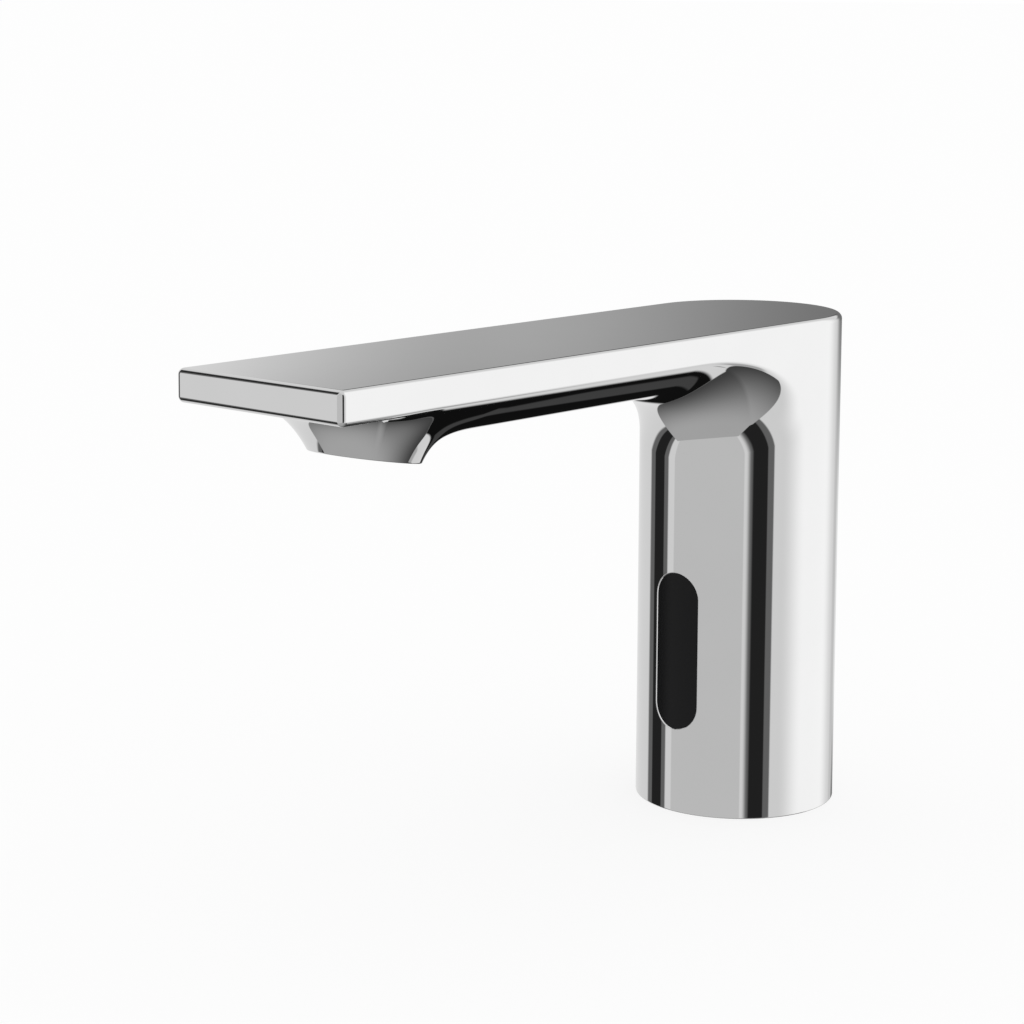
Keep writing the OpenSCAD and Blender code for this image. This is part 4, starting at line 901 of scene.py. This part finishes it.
@dataclass(frozen=True)
class Card:
    """Straight-edged panel of the studio, light or dark, in the directions that the chrome sees it.

    Directions are azimuth and elevation in degrees; azimuth 0 faces -Y and 90 faces +X. Each side has
    its own softness, in degrees either way, from its first corner to the next one.
    """

    level: float
    corners: tuple[tuple[float, float], ...]
    softness: tuple[float, ...]

    def mask(self, tree: bpy.types.NodeTree, direction: bpy.types.NodeSocket) -> bpy.types.NodeSocket:
        """Adds the card's mask: the product of one smooth step over the plane of each side.

        A side's plane passes through the eye and the side's two corners, so that its normal is their
        cross product, and a direction's distance from it is the dot product of the two.

        Args:
            tree: The world's node tree.
            direction: Socket of the direction looked in.

        Returns:
            Socket that is 1 inside the card and 0 outside.
        """
        azimuth, elevation = np.radians(np.array(self.corners)).T
        corners = np.cos(elevation)[:, None] * round_out(azimuth) + np.sin(elevation)[:, None] * UP
        mask = None
        for start, end, soft in zip(corners, np.roll(corners, -1, axis=0), self.softness):
            normal = np.cross(start, end)
            normal *= np.sign(normal @ corners.mean(axis=0)) / np.linalg.norm(normal)
            over = add_node(tree, "VectorMath", {1: normal.tolist()}, {0: direction},
                            operation="DOT_PRODUCT").outputs["Value"]
            edge = math.sin(math.radians(soft))
            step = add_node(tree, "MapRange", {"From Min": -edge, "From Max": edge},
                            {"Value": over}, interpolation_type="SMOOTHSTEP").outputs[0]
            mask = step if mask is None else add_node(tree, "Math", None, {0: mask, 1: step},
                                                      operation="MULTIPLY").outputs[0]
        return mask


# The surroundings, each card laid over those before it
CARDS = (
    # Light wall to the right and behind, and a greyer piece of it straight behind
    Card(1.27, ((104, -27), (165, -27), (183, 58), (104, 58)), (10, 13, 12, 16)),
    Card(0.66, ((-178, -22), (-165, -22), (-165, -8), (-178, -8)), (3, 2, 3, 4)),
    # Grey panel ahead
    Card(0.69, ((-41.7, -60), (43.4, -60), (43.4, 60), (-41.7, 60)), (1, 0.6, 6, 0.6)),
    # Upright black cards to its left and right, each inside a dark grey border
    Card(0.16, ((-81.5, -60), (-49.5, -60), (-53, 55), (-86, 55)), (1, 1.2, 3, 2)),
    Card(0.02, ((-72.5, -60), (-55.5, -60), (-60, 51), (-77, 51)), (1, 0.8, 3, 1)),
    Card(0.16, ((48.6, -60), (78, -60), (78, 50), (48.6, 50)), (1, 1, 3, 3)),
    Card(0.02, ((53.0, -60), (70.5, -60), (70.5, 46), (53.0, 46)), (1, 0.8, 3, 1.5)),
    # Low black card behind on the left, with a less dark strip
    Card(0.006, ((-165.8, -50), (-136.5, -50), (-136.5, -15.8), (-165.8, -15.8)), (1, 1.5, 2, 1.1)),
    Card(0.06, ((-160.8, -36.8), (-151.8, -36.8), (-151.8, -18), (-160.8, -18)), (0.6, 0.8, 3, 1)),
    # Grey wall above it, darker higher up, which the flat top shows
    Card(0.44, ((-176, -8), (-133.6, -8), (-133.6, 13), (-176, 13)), (3, 4, 3, 8)),
    Card(0.19, ((-172, -8), (-142, -8), (-142, 13), (-172, 13)), (3, 4, 3, 8)),
    Card(0.05, ((-151, 10), (-132, 10), (-132, 27), (-151, 27)), (3, 2, 4, 4)),
    # Grey patch low behind on the right
    Card(0.5, ((144, -33), (172, -40), (172, -48), (144, -44)), (1.5, 2, 1, 2)),
    # The deck, a square that darkens towards the back
    Card(0.5, ((-45, -35.3), (45, -35.3), (135, -35.3), (-135, -35.3)), (0.4, 0.4, 0.4, 0.4)),
    Card(0.02, ((-110, -43.2), (110, -43.2), (135, -35.3), (-135, -35.3)), (40, 0.4, 0.4, 0.4)),
)


@dataclass
class Studio:
    """Pale floor, even light, the surroundings that the chrome shows, and the camera."""

    lens: float = 95.61
    shift: float = -0.15
    place: tuple[float, float, float] = (0.40621, -0.54076, 0.20351)
    heading: float = -41.7613
    pitch: float = -7.81474
    roll: float = -0.25918
    floor_size: float = 60.0
    floor_glow: float = 0.8
    wall_level: float = 0.85
    sensor_mm: float = 36.0
    clip: tuple[float, float] = (0.01, 200.0)

    def camera(self) -> None:
        """Places the camera where the photograph was taken from."""
        data = bpy.data.cameras.new("photo_camera")
        data.lens, data.sensor_width, data.shift_y = self.lens, self.sensor_mm, self.shift
        data.clip_start, data.clip_end = self.clip
        camera = add_object("photo_camera", data)
        yaw, pitch, roll = (math.radians(a) for a in (-self.heading, self.pitch, self.roll))
        turn = Euler((math.pi / 2 + pitch, 0.0, 0.0)).to_matrix()
        camera.rotation_euler = (Euler((0.0, 0.0, yaw)).to_matrix() @ turn
                                 @ Euler((0.0, 0.0, -roll)).to_matrix()).to_euler()
        camera.location = self.place
        bpy.context.scene.camera = camera

    def floor(self) -> None:
        """Lays a pale floor in the deck's plane; to the camera it is white, with a faint shadow."""
        half = self.floor_size / 2
        mesh = bpy.data.meshes.new("floor")
        corners = [(-half, -half, 0.0), (half, -half, 0.0), (half, half, 0.0), (-half, half, 0.0)]
        mesh.from_pydata(corners, [], [(0, 1, 2, 3)])
        floor = add_object("floor", mesh)
        floor.visible_glossy = False
        material = bpy.data.materials.new("pale_floor")
        tree = empty_tree(material)
        path = add_node(tree, "LightPath")
        glow = add_node(tree, "Emission", {"Color": (1, 1, 1, 1)},
                        {"Strength": path.outputs["Is Camera Ray"]})
        plain = add_node(tree, "BsdfDiffuse", {"Color": linear("#F7F7F7")})
        surface = add_node(tree, "MixShader", {0: self.floor_glow},
                           {1: plain.outputs[0], 2: glow.outputs[0]})
        add_node(tree, "OutputMaterial", links={"Surface": surface.outputs[0]})
        mesh.materials.append(material)

    def world(self) -> None:
        """Sets the surroundings: white to the camera, even light, and the cards for metal and glass."""
        world = bpy.data.worlds.new("studio")
        bpy.context.scene.world = world
        tree = empty_tree(world)
        # In a world, Generated is the direction looked in
        direction = add_node(tree, "TexCoord").outputs["Generated"]
        level = add_node(tree, "Value").outputs[0]
        level.default_value = self.wall_level
        for card in CARDS:
            level = add_node(tree, "Mix", {"B": card.level},
                             {"A": level, "Factor": card.mask(tree, direction)}).outputs["Result"]
        path = add_node(tree, "LightPath")
        shiny = add_node(tree, "Math", None,
                         {0: path.outputs["Is Glossy Ray"], 1: path.outputs["Is Transmission Ray"]},
                         operation="MAXIMUM")
        seen = add_node(tree, "Background", {"Color": (1, 1, 1, 1)}, {"Strength": level})
        even = add_node(tree, "Background", {"Color": (1, 1, 1, 1), "Strength": 1.0})
        mixed = add_node(tree, "MixShader", None,
                         {0: shiny.outputs[0], 1: even.outputs[0], 2: seen.outputs[0]})
        add_node(tree, "OutputWorld", links={"Surface": mixed.outputs[0]})


def give(piece: bpy.types.Object, material: bpy.types.Material) -> None:
    """Gives an object one material in every slot."""
    if not piece.material_slots:
        piece.data.materials.append(material)
    for place in piece.material_slots:
        place.material = material


def main() -> None:
    """Builds the tap's new pieces, dresses the CAD nodes and sets up the studio."""
    logging.basicConfig(level=logging.INFO, format="%(message)s")
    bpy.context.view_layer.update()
    studio = Studio()
    studio.camera()
    studio.floor()
    studio.world()
    bpy.context.scene.view_settings.view_transform = "Standard"
    low, high = box_mm("spout_body")
    body = SpoutBody(radius=high[0], top=high[2], reach=-low[1])
    window = WallOpening.around("sensor_window", 0.0, -SensorWindow.flange, margins=(8.0, 8.0),
                                half_angle=0.46)
    screw = WallOpening.around("set_screw", math.pi, SCREW_GAP, margins=(1.4, 1.8), half_angle=0.2)
    shell = body.build([window, screw])
    LOG.info("built %s with %d faces", shell.name, len(shell.data.polygons))
    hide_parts("spout_body")
    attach(shell, "tap")
    give(shell, CHROME.material())
    window_low, window_high = box_mm("sensor_window")
    glass = SensorWindow(window, body.bore, face=-window_low[1], back=-window_high[1]).build()
    LOG.info("built %s with %d faces", glass.name, len(glass.data.polygons))
    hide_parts("sensor_window")
    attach(glass, "tap")
    give(glass, WINDOW_BLACK.material())
    for finish, nodes in FINISHES:
        for node in nodes:
            give(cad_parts[node], finish.material())
            LOG.info("dressed %s in %s", node, finish.name)
    # The chrome mirrors the studio alone, as in the photo, and not the tap itself
    for piece in (shell, glass, *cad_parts.values()):
        piece.visible_glossy = False


if __name__ == "__main__":
    main()
